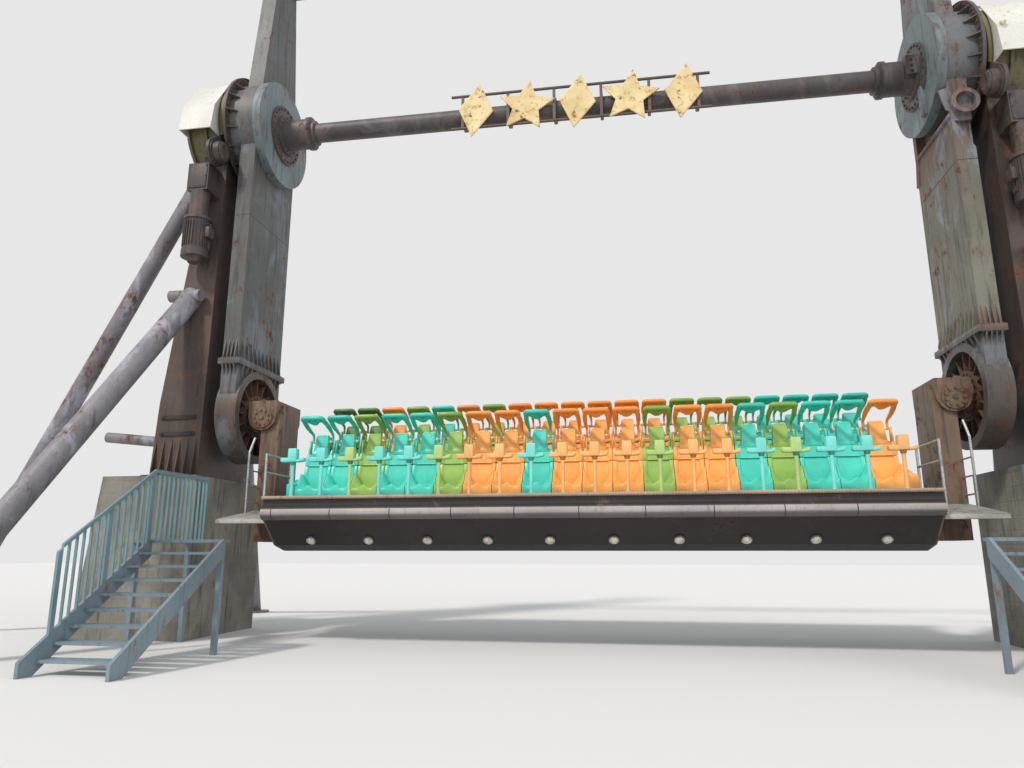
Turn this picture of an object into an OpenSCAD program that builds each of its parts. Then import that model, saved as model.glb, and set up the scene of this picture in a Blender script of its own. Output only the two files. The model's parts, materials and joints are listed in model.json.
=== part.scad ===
// Twin-arm flipping gondola ride: two braced towers carry two long arms on one high axis,
// and the arms carry a free-turning gondola with two rows of seats.
// X runs along the gondola, Y runs from the front (-Y) to the back and Z is up.
// The origin is on the ground, centred below the hub axis. All sizes are millimetres.

/* [Overall layout] */
// Height of the hub axis above the ground
hub_z = 10750; // [10000:50:11500]
// Distance between the hub axis and the gondola pivot axis
arm_length = 6450; // [6000:50:6600]
// Half length of the gondola deck
deck_half = 5500; // [5450:10:5600]
// Gap between the end of the deck and the inner face of each arm
arm_gap = 1320; // [1300:10:1400]
// Gap between the outer face of an arm and its tower
tower_gap = 340; // [320:10:400]

/* [Arms] */
// Thickness of the arm box along X
arm_t = 340; // [300:10:380]
// Half depth of the arm box along Y
arm_half = 900; // [820:10:920]
// Radius of the round end of the arm
arm_end_r = 960; // [940:10:1000]
// Height of the bolted joint above the pivot axis
joint_rise = 1000; // [980:10:1200]
// Thickness of each bolted joint flange
joint_t = 60; // [40:5:80]
// How far the joint flanges stand out of the arm
joint_lip = 75; // [50:5:90]
// Height of the pointed ribs at the bolted joint
joint_rib_h = 420; // [300:10:500]
// Radius of the recess in the round end
recess_r = 800; // [760:10:820]
// Depth of the recess
recess_depth = 260; // [200:10:280]
// Radius of the pivot bearing housing
bearing_r = 450; // [420:10:480]
// Number of radial ribs in the recess
recess_ribs = 16; // [12:1:20]
// Length of the upper arm above the hub axis
upper_arm_length = 4150; // [3900:50:4400]
// Half depth of the upper arm at its top
upper_arm_half = 400; // [360:10:460]
// Height of the counterweight
weight_h = 1500; // [1200:50:1700]
// Half depth of the counterweight
weight_half = 720; // [600:10:800]
// Thickness of the counterweight along X
weight_t = 620; // [420:10:640]

/* [Hub] */
// Radius of the hub drum
hub_r = 1120; // [1060:10:1140]
// Radius of the pale disc on the inner side of the hub
disc_r = 1150; // [1145:5:1180]
// Thickness of the pale disc
disc_t = 170; // [140:10:180]
// Radius of the raised boss on the disc
boss_r = 650; // [600:10:700]
// Height of the raised boss
boss_t = 50; // [30:5:60]
// Radius of the slewing ring flange
ring_r = 1300; // [1260:10:1340]
// Thickness of the slewing ring flange
ring_t = 60; // [40:5:80]
// Number of gussets behind the slewing ring flange
ring_gussets = 20; // [16:1:24]
// Radius of the hub shaft that turns in the tower head
hub_shaft_r = 420; // [380:10:440]
// Length of the hub shaft inside the tower head
hub_shaft_in = 500; // [400:10:560]

/* [Cross shaft and sign] */
// Radius of the tube between the hubs
shaft_r = 210; // [190:5:230]
// Length of each end sleeve of the tube
sleeve_length = 660; // [600:10:700]
// Radius of each end sleeve
sleeve_r = 330; // [300:10:350]
// Half length of the sign rails
sign_half = 2700; // [2600:50:2800]
// Distance of each sign rail from the shaft axis
sign_rail_rise = 380; // [360:10:420]
// Half height of a sign plate
plate_half = 620; // [560:10:680]

/* [Towers] */
// Height of the concrete plinth under a tower
plinth_h = 3000; // [2900:50:3100]
// Half depth of the plinth
plinth_half = 1280; // [1250:10:1290]
// How far the plinth's inner face stands inside the tower's
plinth_step = 240; // [220:10:260]
// Width of the plinth at its foot
plinth_w = 2300; // [2200:50:2500]
// Width of the tower column along X at its top
column_top_w = 520; // [500:10:600]
// Width of the tower column along X at its foot
column_foot_w = 1020; // [980:10:1060]
// Half depth of the tower column at its foot
column_half = 880; // [820:10:920]
// Wall thickness of the tower column
column_wall = 60; // [40:5:80]
// Radius of the tower head drum
head_r = 1150; // [1100:10:1170]
// Length of the tower head drum along X
head_length = 840; // [780:10:860]

/* [Struts] */
// Radius of the front and rear struts
strut_r = 210; // [190:5:230]
// Radius of the outer strut
outer_strut_r = 180; // [160:5:200]
// Distance from the hub axis down to the front and rear struts' upper joints
strut_top_drop = 4000; // [3900:50:4200]
// Distance from the tower's inner face out to the feet of the front and rear struts
strut_spread = 1800; // [1700:50:1900]
// Distance from the hub axis to the feet of the front and rear struts
strut_foot_y = 5150; // [5000:50:5300]
// Distance from the hub axis down to the outer strut's joint on the tower head
outer_top_drop = 650; // [600:10:700]
// Distance from the tower's inner face out to the foot of the outer strut
outer_spread = 5400; // [5100:50:5700]

/* [Gondola] */
// Distance from the pivot axis down to the front floor
floor_drop = 1770; // [1750:5:1800]
// Height of the back floor above the front floor
row_rise = 420; // [400:5:440]
// Distance between the two rows of seats
row_pitch = 1520; // [1500:10:1560]
// Front edge of the deck, measured from the pivot axis
deck_front = 2040; // [2030:5:2060]
// Back edge of the deck, measured from the pivot axis
deck_back = 1320; // [1300:10:1400]
// Thickness of the deck plates
deck_t = 60; // [50:5:70]
// Number of seats in a row
seats = 20; // [19:1:20]
// Length of deck beyond the last seat at each end
deck_end = 200; // [180:5:240]
// Gap between two seats
seat_gap = 10; // [8:1:14]
// Thickness of the side beam along X
side_beam_w = 380; // [340:10:400]
// Depth of the side beam along Y
side_beam_d = 860; // [800:10:900]
// Radius of the gondola trunnion
trunnion_r = 320; // [300:5:340]

/* [Restraints] */
// Distance from the deck to the restraint axis
restraint_rise = 1130; // [1120:5:1140]
// Distance the raised restraint bar stands ahead of the axis
restraint_reach = 580; // [560:5:600]
// Height of the raised restraint bar above the axis
restraint_climb = 370; // [350:5:390]
// Gap between a restraint frame and the ears beside it
restraint_gap = 10; // [8:1:14]
// Radius of the restraint's pin
pin_r = 18; // [16:1:20]

/* [Stairs] */
// Distance from the front floor down to the boarding landing
landing_drop = 750; // [730:5:770]
// Number of risers in each flight
risers = 9; // [8:1:10]
// Depth of each tread
tread_d = 270; // [250:5:290]

/* [Hidden] */
$fn = 96;

// Facets of the large cuts that reach the end of a piece
fine = 288;

// Clearances
seat_of_curve = 0.3;   // between curved faces that rest on each other
running = 0.05;        // radial play of a shaft in its bearing

// How far a cut reaches past the face it goes through
past = 1;

// Stations along X, for the right-hand side
pivot_z = hub_z - arm_length;
arm_x = deck_half + arm_gap;
arm_out = arm_x + arm_t;
tower_x = arm_out + tower_gap;
disc_x = arm_x - disc_t;
boss_x = disc_x - boss_t;
ring_gap = 90;
ring_x = tower_x - ring_gap;
ring_seat_t = 50;
plinth_x = tower_x - plinth_step;
strut_foot_x = tower_x + strut_spread;
outer_foot_x = tower_x + outer_spread;
strut_top_z = hub_z - strut_top_drop;
outer_top_z = hub_z - outer_top_drop;
front_floor = pivot_z - floor_drop;
back_floor = front_floor + row_rise;
joint_z = pivot_z + joint_rise;

// Arm details
joint_half = arm_half + joint_lip;
joint_rib_t = 24;
joint_rib_pitch = 170;
mouth_lip = 60;
mouth_back = 40;
recess_mouth = arm_x - mouth_lip;
bearing_in = arm_x;
bearing_play = 40;
bearing_hole = trunnion_r + bearing_play;
upper_top = hub_z + upper_arm_length;
weight_lap = 150;
weight_base = upper_top - weight_lap;

// Tower details
column_taper = 90;
column_half_top = column_half - column_taper;
head_out = tower_x + head_length;
head_plate_t = 60;

// Seat details, measured in a seat row's own frame:
// Y from the pivot axis, Z from that row's floor
seat_pitch = 2 * (deck_half - deck_end) / seats;
seat_half = (seat_pitch - seat_gap) / 2;
step_y = -620;
post_y = -1890;
base_front = -1250;
base_back = -890;
pan_z = 300;
cheek_z = 480;
back_seam = 640;
back_shoulder = 890;
head_top = 1260;
ear_w = 45;
ear_top = restraint_rise + 40;
restraint_y = -640;
shoulder_half = seat_half - 60;
neck_half = seat_half * 0.52;
head_half = seat_half * 0.404;
neck_rise = 110;
restraint_half = seat_half - ear_w - restraint_gap;
boss_w = 55;
boss_in = restraint_half - boss_w;
leg_set = 2;
leg_out = restraint_half - leg_set;
leg_in = boss_in + leg_set;

function seat_x(i) = (i - (seats - 1) / 2) * seat_pitch;

// Runs a profile drawn as [Y, Z] along X
module along_x(from, to) {
    translate([from, 0, 0])
        rotate([90, 0, 90])
            linear_extrude(to - from)
                children();
}

// Runs a profile drawn as [X, Z] along Y
module along_y(from, to) {
    translate([0, to, 0])
        rotate([90, 0, 0])
            linear_extrude(to - from)
                children();
}

// A round bar along X at a height and depth
module bar_x(from, to, r, y, z) {
    translate([from, y, z])
        rotate([0, 90, 0])
            cylinder(h = to - from, r = r);
}

// A round bar along Y
module bar_y(from, to, r, x, z) {
    translate([x, from, z])
        rotate([-90, 0, 0])
            cylinder(h = to - from, r = r);
}

// A round bar from one point to another
module bar(a, b, r) {
    d = b - a;
    length = norm(d);
    translate(a)
        rotate([0, acos(d.z / length), atan2(d.y, d.x)])
            cylinder(h = length, r = r);
}

// A block given by its two corners
module block(low, high) {
    translate(low)
        cube(high - low);
}

// Draws the right-hand piece, or its mirror on the left
module on_side(side) {
    if (side == "left")
        mirror([1, 0, 0])
            children();
    else
        children();
}

// Towers

// The column's outer face leans in above its foot, up to its waist below the head
foot_rise = 1500;
foot_taper = 60;
waist_drop = 2450;
waist_flare = 40;

// Outline of the tapered column, drawn in by a wall or grown by a clearance
module column_body(inset, low, high) {
    foot_out = tower_x + column_foot_w - inset;
    top_out = tower_x + column_top_w - inset;
    intersection() {
        along_y(-column_half, column_half)
            polygon([[tower_x + inset, low], [foot_out, low],
                     [foot_out - foot_taper, plinth_h + foot_rise],
                     [top_out + waist_flare, hub_z - waist_drop],
                     [top_out, high], [tower_x + inset, high]]);
        along_x(tower_x - past, tower_x + column_foot_w + past)
            polygon([[-column_half + inset, low], [column_half - inset, low],
                     [column_half_top - inset, high], [-column_half_top + inset, high]]);
    }
}

// A tapered hollow box column that stands on the plinth
module tower_column(side) {
    foot_out = tower_x + column_foot_w;
    color([0.33, 0.27, 0.24])
        on_side(side)
            difference() {
                union() {
                    column_body(0, plinth_h, hub_z);
                    column_foot(foot_out);
                }
                column_body(column_wall, plinth_h - past, hub_z - head_r - column_wall);
                bar_x(tower_x - past, head_out, head_r + seat_of_curve, 0, hub_z, $fn = fine);
            }
}

// Base flange of the column with its upright ribs
module column_foot(foot_out) {
    flange = 110;
    flange_t = 50;
    rib_t = 24;
    rib_h = 800;
    rib_blunt = 120;
    rib_pitch = 170;
    rib_start = 90;
    side_root = 20;
    outer_root = 60;
    outer_reach = flange + 30;
    block([tower_x, -column_half - flange, plinth_h],
          [foot_out + flange, column_half + flange, plinth_h + flange_t]);
    for (side = [-1, 1], i = [0 : 5])
        translate([tower_x + rib_start + i * rib_pitch - rib_t / 2, side * (column_half - side_root),
                   plinth_h + flange_t])
            along_x(0, rib_t)
                polygon([[0, 0], [side * flange, 0], [side * flange, rib_blunt], [0, rib_h]]);
    for (i = [-4 : 4])
        translate([foot_out - outer_root, i * rib_pitch - rib_t / 2, plinth_h + flange_t])
            along_y(0, rib_t)
                polygon([[0, 0], [outer_reach, 0], [outer_reach, rib_blunt], [0, rib_h]]);
}

// The round bearing head that the hub shaft turns in
module tower_head(side) {
    rim = 60;
    band_r = head_r - rim;
    middle_plate = tower_x + 380;
    socket_end = tower_x + hub_shaft_in + 40;
    color([0.42, 0.39, 0.28])
        on_side(side)
            difference() {
                union() {
                    bar_x(tower_x, tower_x + head_plate_t, head_r, 0, hub_z);
                    bar_x(tower_x + head_plate_t, head_out - head_plate_t, band_r, 0, hub_z);
                    bar_x(head_out - head_plate_t, head_out, head_r, 0, hub_z);
                    bar_x(middle_plate, middle_plate + head_plate_t, head_r, 0, hub_z);
                }
                bar_x(tower_x - past, socket_end, hub_shaft_r + running, 0, hub_z);
            }
}

// Depths and heights of the hood's corners, from the hub axis
hood_front = 1400;
hood_drop = 500;
brow_y = 1320;
brow_rise = 70;
crown_y = 860;
crown_rise = 830;
ridge_y = 740;
ridge_rise = 900;
hood_root_y = 640;
hood_root_rise = 700;
hood_back = 1040;
hood_back_drop = 300;

// Section of the hood over the drive, drawn in by the thickness of its sheet
function hood_points(t) = [
    [-hood_front + t, hub_z - hood_drop - t], [-brow_y + t, hub_z + brow_rise - t * 0.6],
    [-crown_y + t * 0.4, hub_z + crown_rise - t], [-ridge_y, hub_z + ridge_rise - t],
    [-hood_root_y, hub_z + hood_root_rise], [-hood_back, hub_z - hood_back_drop],
    [-hood_back, hub_z - hood_drop - t]
];

// The folded sheet hood on the front of the head, open at the bottom
module head_cover(side) {
    sheet = 25;
    hood_in = tower_x + ring_gap;
    hood_out = head_out - sheet;
    color([0.78, 0.74, 0.68])
        on_side(side)
            difference() {
                along_x(hood_in, hood_out)
                    polygon(hood_points(0));
                along_x(hood_in + sheet, hood_out - sheet)
                    polygon(hood_points(sheet));
                bar_x(tower_x, head_out + past, head_r + seat_of_curve, 0, hub_z, $fn = fine);
            }
}

// Upright gear motor with its box on the front of the column, and the pinion motor beside the ring
module drive_motor(side) {
    motor_x = tower_x + 330;
    motor_y = -column_half - 260;
    box_half = 230;
    box_front = 150;
    box_top = hub_z - 1250;
    box_foot = hub_z - 1850;
    neck_r = 190;
    flange_z = hub_z - 2500;
    flange_t = 60;
    flange_r = 270;
    body_r = 240;
    body_foot = hub_z - 3150;
    cap_t = 150;
    color([0.36, 0.31, 0.30])
        on_side(side)
            difference() {
                union() {
                    block([motor_x - box_half, motor_y - box_front, box_foot],
                          [motor_x + box_half, -column_half_top, box_top]);
                    translate([motor_x, motor_y, flange_z])
                        cylinder(h = box_foot - flange_z + past, r = neck_r);
                    translate([motor_x, motor_y, flange_z])
                        cylinder(h = flange_t, r = flange_r);
                    translate([motor_x, motor_y, body_foot])
                        cylinder(h = flange_z - body_foot + past, r = body_r);
                    translate([motor_x, motor_y, body_foot - cap_t])
                        cylinder(h = cap_t, r = flange_r);
                    pinion_motor();
                }
                column_body(0, plinth_h, hub_z);
                bar_x(tower_x - past, head_out, head_r + seat_of_curve, 0, hub_z);
            }
}

// Motor on a bracket plate that reaches out from the head, clear of the turning ring
module pinion_motor() {
    motor_r = 220;
    ring_clear = 90;
    reach = ring_r + motor_r + ring_clear;
    way = 219.3;
    bracket_half = 290;
    bracket_root = head_r - 200;
    motor_in = 170;
    motor_out = 90;
    collar_t = 30;
    collar = 40;
    y = reach * cos(way);
    z = hub_z + reach * sin(way);
    along_x(tower_x, tower_x + head_plate_t)
        union() {
            translate([y, z])
                circle(r = bracket_half);
            translate([0, hub_z])
                rotate(way)
                    translate([bracket_root, -bracket_half])
                        square([reach - bracket_root, 2 * bracket_half]);
        }
    bar_x(tower_x - motor_in, tower_x + motor_out, motor_r, y, z);
    bar_x(tower_x - collar_t, tower_x + past, motor_r + collar, y, z);
}

// Front and rear struts are mirror images; the outer strut holds the tower sideways
module struts(side) {
    top_x = tower_x + 450;
    top_set = 40;
    foot_set = 60;
    foot_plate = 50;
    foot_r = 420;
    outer_foot_r = 380;
    pin_in = 260;
    pin_out = 420;
    cross_pin_r = 120;
    pin_drop = 60;
    outer_top_y = -100;
    outer_foot_y = -670;
    pad_t = 40;
    pad_half = 260;
    pad_low = 380;
    pad_high = 480;
    below = 600;
    cut_half = 900;
    color([0.55, 0.56, 0.60])
        on_side(side) {
            for (dir = [-1, 1])
                difference() {
                    union() {
                        bar([top_x, dir * (column_half - top_set), strut_top_z],
                            [strut_foot_x, dir * strut_foot_y, foot_set], strut_r);
                        translate([strut_foot_x, dir * strut_foot_y, 0])
                            cylinder(h = foot_plate, r = foot_r);
                        bar_x(top_x - pin_in, top_x + pin_out, cross_pin_r,
                              dir * (column_half + cross_pin_r), strut_top_z - pin_drop);
                    }
                    column_body(0, plinth_h, hub_z);
                    block([strut_foot_x - cut_half, -2 * strut_foot_y, -below],
                          [strut_foot_x + cut_half, 2 * strut_foot_y, 0]);
                }
            difference() {
                union() {
                    bar([head_out - top_set, outer_top_y, outer_top_z + outer_strut_r / 2],
                        [outer_foot_x, outer_foot_y, foot_set], outer_strut_r);
                    translate([outer_foot_x, outer_foot_y, 0])
                        cylinder(h = foot_plate, r = outer_foot_r);
                    block([head_out, outer_top_y - pad_half, outer_top_z - pad_low],
                          [head_out + pad_t, outer_top_y + pad_half, outer_top_z + pad_high]);
                }
                block([tower_x, -head_r, outer_top_z - 2 * below], [head_out, head_r, hub_z + head_r]);
                block([outer_foot_x - cut_half, outer_foot_y - cut_half, -below],
                      [outer_foot_x + cut_half, outer_foot_y + cut_half, 0]);
            }
            stub_beam();
        }
}

// Stub beam that reaches outwards from the foot of the column
module stub_beam() {
    stub_r = 110;
    stub_rise = 740;
    stub_climb = 230;
    stub_from = column_foot_w / 2;
    stub_to = 2700;
    difference() {
        bar([tower_x + stub_from, 0, plinth_h + stub_rise],
            [tower_x + stub_to, 0, plinth_h + stub_rise + stub_climb], stub_r);
        column_body(0, plinth_h, hub_z);
        column_foot(tower_x + column_foot_w);
    }
}

// The concrete block under a tower
module plinth(side) {
    batter = 350;
    color([0.42, 0.40, 0.37])
        on_side(side)
            along_y(-plinth_half, plinth_half)
                polygon([[plinth_x, 0], [plinth_x + plinth_w, 0], [plinth_x + plinth_w - batter, plinth_h],
                         [plinth_x, plinth_h]]);
}

// Landing and flight
landing_z = front_floor - landing_drop;
landing_front = -2620;
flight_top = -2900;
flight_in = deck_half + deck_end;
flight_w = 1250;
flight_out = flight_in + flight_w;
stringer_t = 50;
riser_h = landing_z / risers;

module stairs(side) {
    slab = 50;
    leg = 80;
    leg_back = 70;
    tread_t = 40;
    tread_lap = 20;
    stringer_back = 60;
    stringer_h = 260;
    last = risers - 1;
    walk_lap = 40;
    walk_in = arm_x - walk_lap;
    walk_out = plinth_x + walk_lap;
    leg_x = walk_out - leg;
    color([0.45, 0.52, 0.58])
        on_side(side) {
            block([walk_in, flight_top, landing_z - slab], [walk_out, -plinth_half, landing_z]);
            block([flight_in, flight_top, landing_z - slab], [walk_in, landing_front, landing_z]);
            for (i = [1 : last])
                block([flight_in, flight_top - i * tread_d, landing_z - i * riser_h - tread_t],
                      [flight_out, flight_top - (i - 1) * tread_d + tread_lap, landing_z - i * riser_h]);
            for (x = [flight_in - stringer_t, flight_out])
                along_x(x, x + stringer_t)
                    polygon([[flight_top + stringer_back, landing_z],
                             [flight_top + stringer_back, landing_z - stringer_h],
                             [flight_top - last * tread_d - tread_lap, 0], [flight_top - risers * tread_d, 0],
                             [flight_top - risers * tread_d, riser_h], [flight_top, landing_z]]);
            for (p = [[flight_in, flight_top + leg_back], [leg_x, flight_top + leg_back],
                      [leg_x, -plinth_half - leg]])
                block([p.x, p.y, 0], [p.x + leg, p.y + leg, landing_z - slab]);
        }
}

// Handrail with balusters beside the flight and along the landing
module stair_rail(side) {
    rail_h = 1150;
    rail_t = 60;
    rail_half = 20;
    bar_t = 20;
    bar_pitch = 130;
    post_t = 80;
    end_post = 60;
    bars = 14;
    rail_x = flight_out + stringer_t / 2;
    slope = (landing_z - riser_h) / (risers * tread_d);
    run = 7 * tread_d;
    landing_end = -plinth_half - bar_t;
    bar_top = rail_h - rail_t + past;
    color([0.42, 0.56, 0.62])
        on_side(side) {
            along_x(rail_x - rail_half, rail_x + rail_half)
                union() {
                    rail_strip(flight_top - run, flight_top, slope, rail_h - rail_t, rail_h);
                    for (i = [0 : bars])
                        rail_strip(flight_top - i * run / bars - (i % 7 == 0 ? post_t : bar_t),
                                   flight_top - i * run / bars, slope, seat_of_curve, bar_top);
                    translate([flight_top - past, landing_z + rail_h - rail_t])
                        square([landing_end - flight_top + past, rail_t]);
                    for (y = [flight_top + bar_pitch : bar_pitch : landing_end - post_t])
                        translate([y, landing_z])
                            square([bar_t, bar_top]);
                    translate([landing_end - end_post, landing_z])
                        square([end_post, bar_top]);
                }
        }
}

// A strip that follows the slope of the flight between two depths and two heights above it
module rail_strip(from, to, slope, low, high) {
    z_from = landing_z - (flight_top - from) * slope;
    z_to = landing_z - (flight_top - to) * slope;
    polygon([[from, z_from + low], [to, z_to + low], [to, z_to + high], [from, z_from + high]]);
}

// Arms

module hub_cut(extra) {
    bar_x(disc_x, tower_x, hub_r + extra, 0, hub_z, $fn = fine);
}

// The tapering spar that reaches up from the hub to the counterweight
module upper_arm(side) {
    color([0.55, 0.50, 0.45])
        on_side(side)
            difference() {
                along_x(arm_x, arm_out)
                    polygon([[-arm_half, hub_z], [arm_half, hub_z],
                             [upper_arm_half, upper_top], [-upper_arm_half, upper_top]]);
                hub_cut(seat_of_curve);
            }
}

// The long box between the hub and the bolted joint
module lower_arm(side) {
    color([0.50, 0.47, 0.43])
        on_side(side) {
            difference() {
                union() {
                    along_x(arm_x, arm_out)
                        polygon([[-arm_half, joint_z], [arm_half, joint_z],
                                 [arm_half, hub_z], [-arm_half, hub_z]]);
                    joint_flange(joint_z, joint_z + joint_t);
                    joint_ribs(joint_z + joint_t, joint_rib_h);
                }
                hub_cut(seat_of_curve);
                if (side == "right")
                    fork_hollow();
            }
            if (side == "right") {
                hub_port();
                fork_bars();
            }
            if (side == "left")
                rear_brackets();
        }
}

// Hollow between the disc and the right arm, and the notch in its front face below the port
fork_drop = 1390;
fork_z = hub_z - fork_drop;
fork_back = 760;

module fork_hollow() {
    web = 80;
    depth = 150;
    notch_z = fork_z - 130;
    notch_in = 40;
    block([arm_x - past, -arm_half + web, fork_z], [arm_x + depth, fork_back, hub_z - hub_r / 2]);
    along_y(-arm_half - past, -arm_half + web)
        polygon([[arm_x + notch_in, notch_z], [arm_out + past, notch_z - arm_t * 1.6],
                 [arm_out + past, notch_z]]);
}

// Round edge bars and the gusset of the hollow
module fork_bars() {
    r = 45;
    elbow_r = 47;
    front_set = 30;
    back_set = 20;
    tail_drop = 560;
    gusset_t = 25;
    gusset_root = 20;
    gusset_low = 60;
    gusset_knee = 110;
    gusset_shoulder = 500;
    gusset_top = 560;
    knee_reach = 70;
    shoulder_reach = 165;
    bar_y(-arm_half + front_set, fork_back, r, arm_x, fork_z);
    translate([arm_x, fork_back - past, fork_z])
        sphere(r = elbow_r);
    bar([arm_x, fork_back, fork_z], [arm_x, arm_half - back_set, fork_z - tail_drop], r);
    along_y(-arm_half, -arm_half + gusset_t)
        polygon([[arm_x + gusset_root, fork_z + gusset_low], [arm_x - knee_reach, fork_z + gusset_knee],
                 [arm_x - shoulder_reach, fork_z + gusset_shoulder],
                 [arm_x + gusset_root, fork_z + gusset_top]]);
}

// Flange plate round the arm
module joint_flange(low, high) {
    outer_lip = joint_lip * 2 / 3;
    block([arm_x - joint_lip, -joint_half, low], [arm_out + outer_lip, joint_half, high]);
}

// Pointed ribs round the arm, upward for a positive height and downward for a negative one
module joint_ribs(z, h) {
    blunt = h / 6;
    root = 5;
    edge = 50;
    pitch = 80;
    for (dir = [-1, 1], x = [arm_x + edge : pitch : arm_out - edge / 2])
        translate([x - joint_rib_t / 2, dir * (arm_half - root), z])
            along_x(0, joint_rib_t)
                polygon([[0, 0], [dir * joint_lip, 0], [dir * joint_lip, blunt], [0, h]]);
    for (i = [-4.5 : 1 : 4.5])
        translate([arm_x + root, i * joint_rib_pitch - joint_rib_t / 2, z])
            along_y(0, joint_rib_t)
                polygon([[0, 0], [-joint_lip, 0], [-joint_lip, blunt], [0, h]]);
}

// Flanged pipe stub on the front of the right arm, below the hub
module hub_port() {
    port_shift = 50;
    port_drop = 1200;
    port_x = arm_x + arm_t / 2 + port_shift;
    port_z = hub_z - port_drop;
    port_out = arm_half + 150;
    pipe_r = 215;
    pipe_hole = 165;
    floor_y = -arm_half - 20;
    rim_r = 240;
    rim_t = 40;
    root = 60;
    difference() {
        union() {
            bar_y(-port_out + rim_t, -arm_half + root, pipe_r, port_x, port_z);
            bar_y(-port_out, -port_out + rim_t, rim_r, port_x, port_z);
        }
        bar_y(-port_out - past, floor_y, pipe_hole, port_x, port_z);
    }
}

// Twin brackets on the back edge of the left arm
module rear_brackets() {
    size = 160;
    thick = 80;
    inset = 100;
    top_drop = 2150;
    spacing = 300;
    for (z = [hub_z - top_drop, hub_z - top_drop - spacing])
        block([arm_x + inset, arm_half, z], [arm_x + inset + thick, arm_half + size, z + size]);
}

// The round end that holds the gondola pivot, below the bolted joint
module arm_end(side) {
    color([0.45, 0.41, 0.38])
        on_side(side)
            difference() {
                union() {
                    along_x(recess_mouth, arm_out + mouth_back)
                        translate([0, pivot_z])
                            circle(r = arm_end_r);
                    along_x(arm_x, arm_out)
                        polygon([[-arm_half, pivot_z], [arm_half, pivot_z],
                                 [arm_half, joint_z], [-arm_half, joint_z]]);
                    joint_flange(joint_z - joint_t, joint_z);
                    joint_ribs(joint_z - joint_t, -joint_rib_h * 0.6);
                }
                bar_x(recess_mouth - past, recess_mouth + recess_depth, recess_r, 0, pivot_z);
                bar_x(recess_mouth, arm_out + mouth_back + past, bearing_hole, 0, pivot_z);
            }
}

// Bearing housing with radial ribs inside the recess
module pivot_bearing(side) {
    rib_t = 24;
    floor_x = recess_mouth + recess_depth - running;
    plate_t = 40;
    plate_play = 3;
    rib_set = 20;
    bolts = 20;
    bolt_r = 22;
    bolt_head = 20;
    bolt_root = 10;
    bolt_ring = bearing_r - 50;
    color([0.45, 0.28, 0.20])
        on_side(side)
            difference() {
                union() {
                    bar_x(bearing_in, floor_x, bearing_r, 0, pivot_z);
                    bar_x(floor_x - plate_t, floor_x, recess_r - plate_play, 0, pivot_z);
                    for (i = [0 : recess_ribs - 1])
                        translate([0, 0, pivot_z])
                            rotate([i * 360 / recess_ribs, 0, 0])
                                along_x(bearing_in + rib_set, floor_x)
                                    translate([bearing_r - rib_set, -rib_t / 2])
                                        square([recess_r - bearing_r, rib_t]);
                    for (i = [0 : bolts - 1])
                        translate([0, 0, pivot_z])
                            rotate([i * 360 / bolts, 0, 0])
                                bar_x(bearing_in - bolt_head, bearing_in + bolt_root, bolt_r, bolt_ring, 0);
                }
                bar_x(bearing_in - past, floor_x + past, trunnion_r + running, 0, pivot_z);
            }
}

// Drum, pale disc, raised boss and the shaft that turns in the tower head
module hub(side) {
    color([0.60, 0.68, 0.68])
        on_side(side) {
            bar_x(boss_x, disc_x, boss_r, 0, hub_z);
            bar_x(disc_x, arm_x, disc_r, 0, hub_z);
            bar_x(arm_x, ring_x, hub_r, 0, hub_z);
            bar_x(ring_x, tower_x + hub_shaft_in, hub_shaft_r, 0, hub_z);
        }
}

// Ring flange with triangular gussets that rests on the hub drum
module slewing_ring(side) {
    gusset_t = 24;
    arm_clear = 5;
    root = ring_x - ring_t;
    tip = arm_out + arm_clear;
    gusset_edge = 20;
    seat_r = ring_r - 120;
    color([0.38, 0.31, 0.29])
        on_side(side)
            difference() {
                union() {
                    bar_x(ring_x - ring_t, ring_x, ring_r, 0, hub_z);
                    bar_x(ring_x, ring_x + ring_seat_t, seat_r, 0, hub_z);
                    for (i = [0 : ring_gussets - 1])
                        translate([0, 0, hub_z])
                            rotate([i * 360 / ring_gussets, 0, 0])
                                translate([0, gusset_t / 2, 0])
                                    rotate([90, 0, 0])
                                        linear_extrude(gusset_t)
                                            polygon([[root + past, ring_r - gusset_edge],
                                                     [root + past, hub_r], [tip, hub_r],
                                                     [tip, hub_r + gusset_edge]]);
                }
                bar_x(disc_x, ring_x, hub_r + seat_of_curve, 0, hub_z);
                bar_x(ring_x - past, ring_x + ring_seat_t + past, hub_shaft_r + seat_of_curve, 0, hub_z);
            }
}

// Heavy block at the top of the arm
module counterweight(side) {
    mid = arm_x + arm_t / 2 - 60;
    chamfer = 200;
    chamfer_h = 260;
    color([0.40, 0.37, 0.34])
        on_side(side)
            difference() {
                along_x(mid - weight_t / 2, mid + weight_t / 2)
                    polygon([[-weight_half + chamfer, weight_base], [weight_half - chamfer, weight_base],
                             [weight_half, weight_base + chamfer_h], [weight_half, weight_base + weight_h],
                             [-weight_half, weight_base + weight_h],
                             [-weight_half, weight_base + chamfer_h]]);
                along_x(arm_x - seat_of_curve, arm_out + seat_of_curve)
                    polygon([[-arm_half, hub_z], [arm_half, hub_z],
                             [upper_arm_half, upper_top], [-upper_arm_half, upper_top]]);
            }
}

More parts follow.
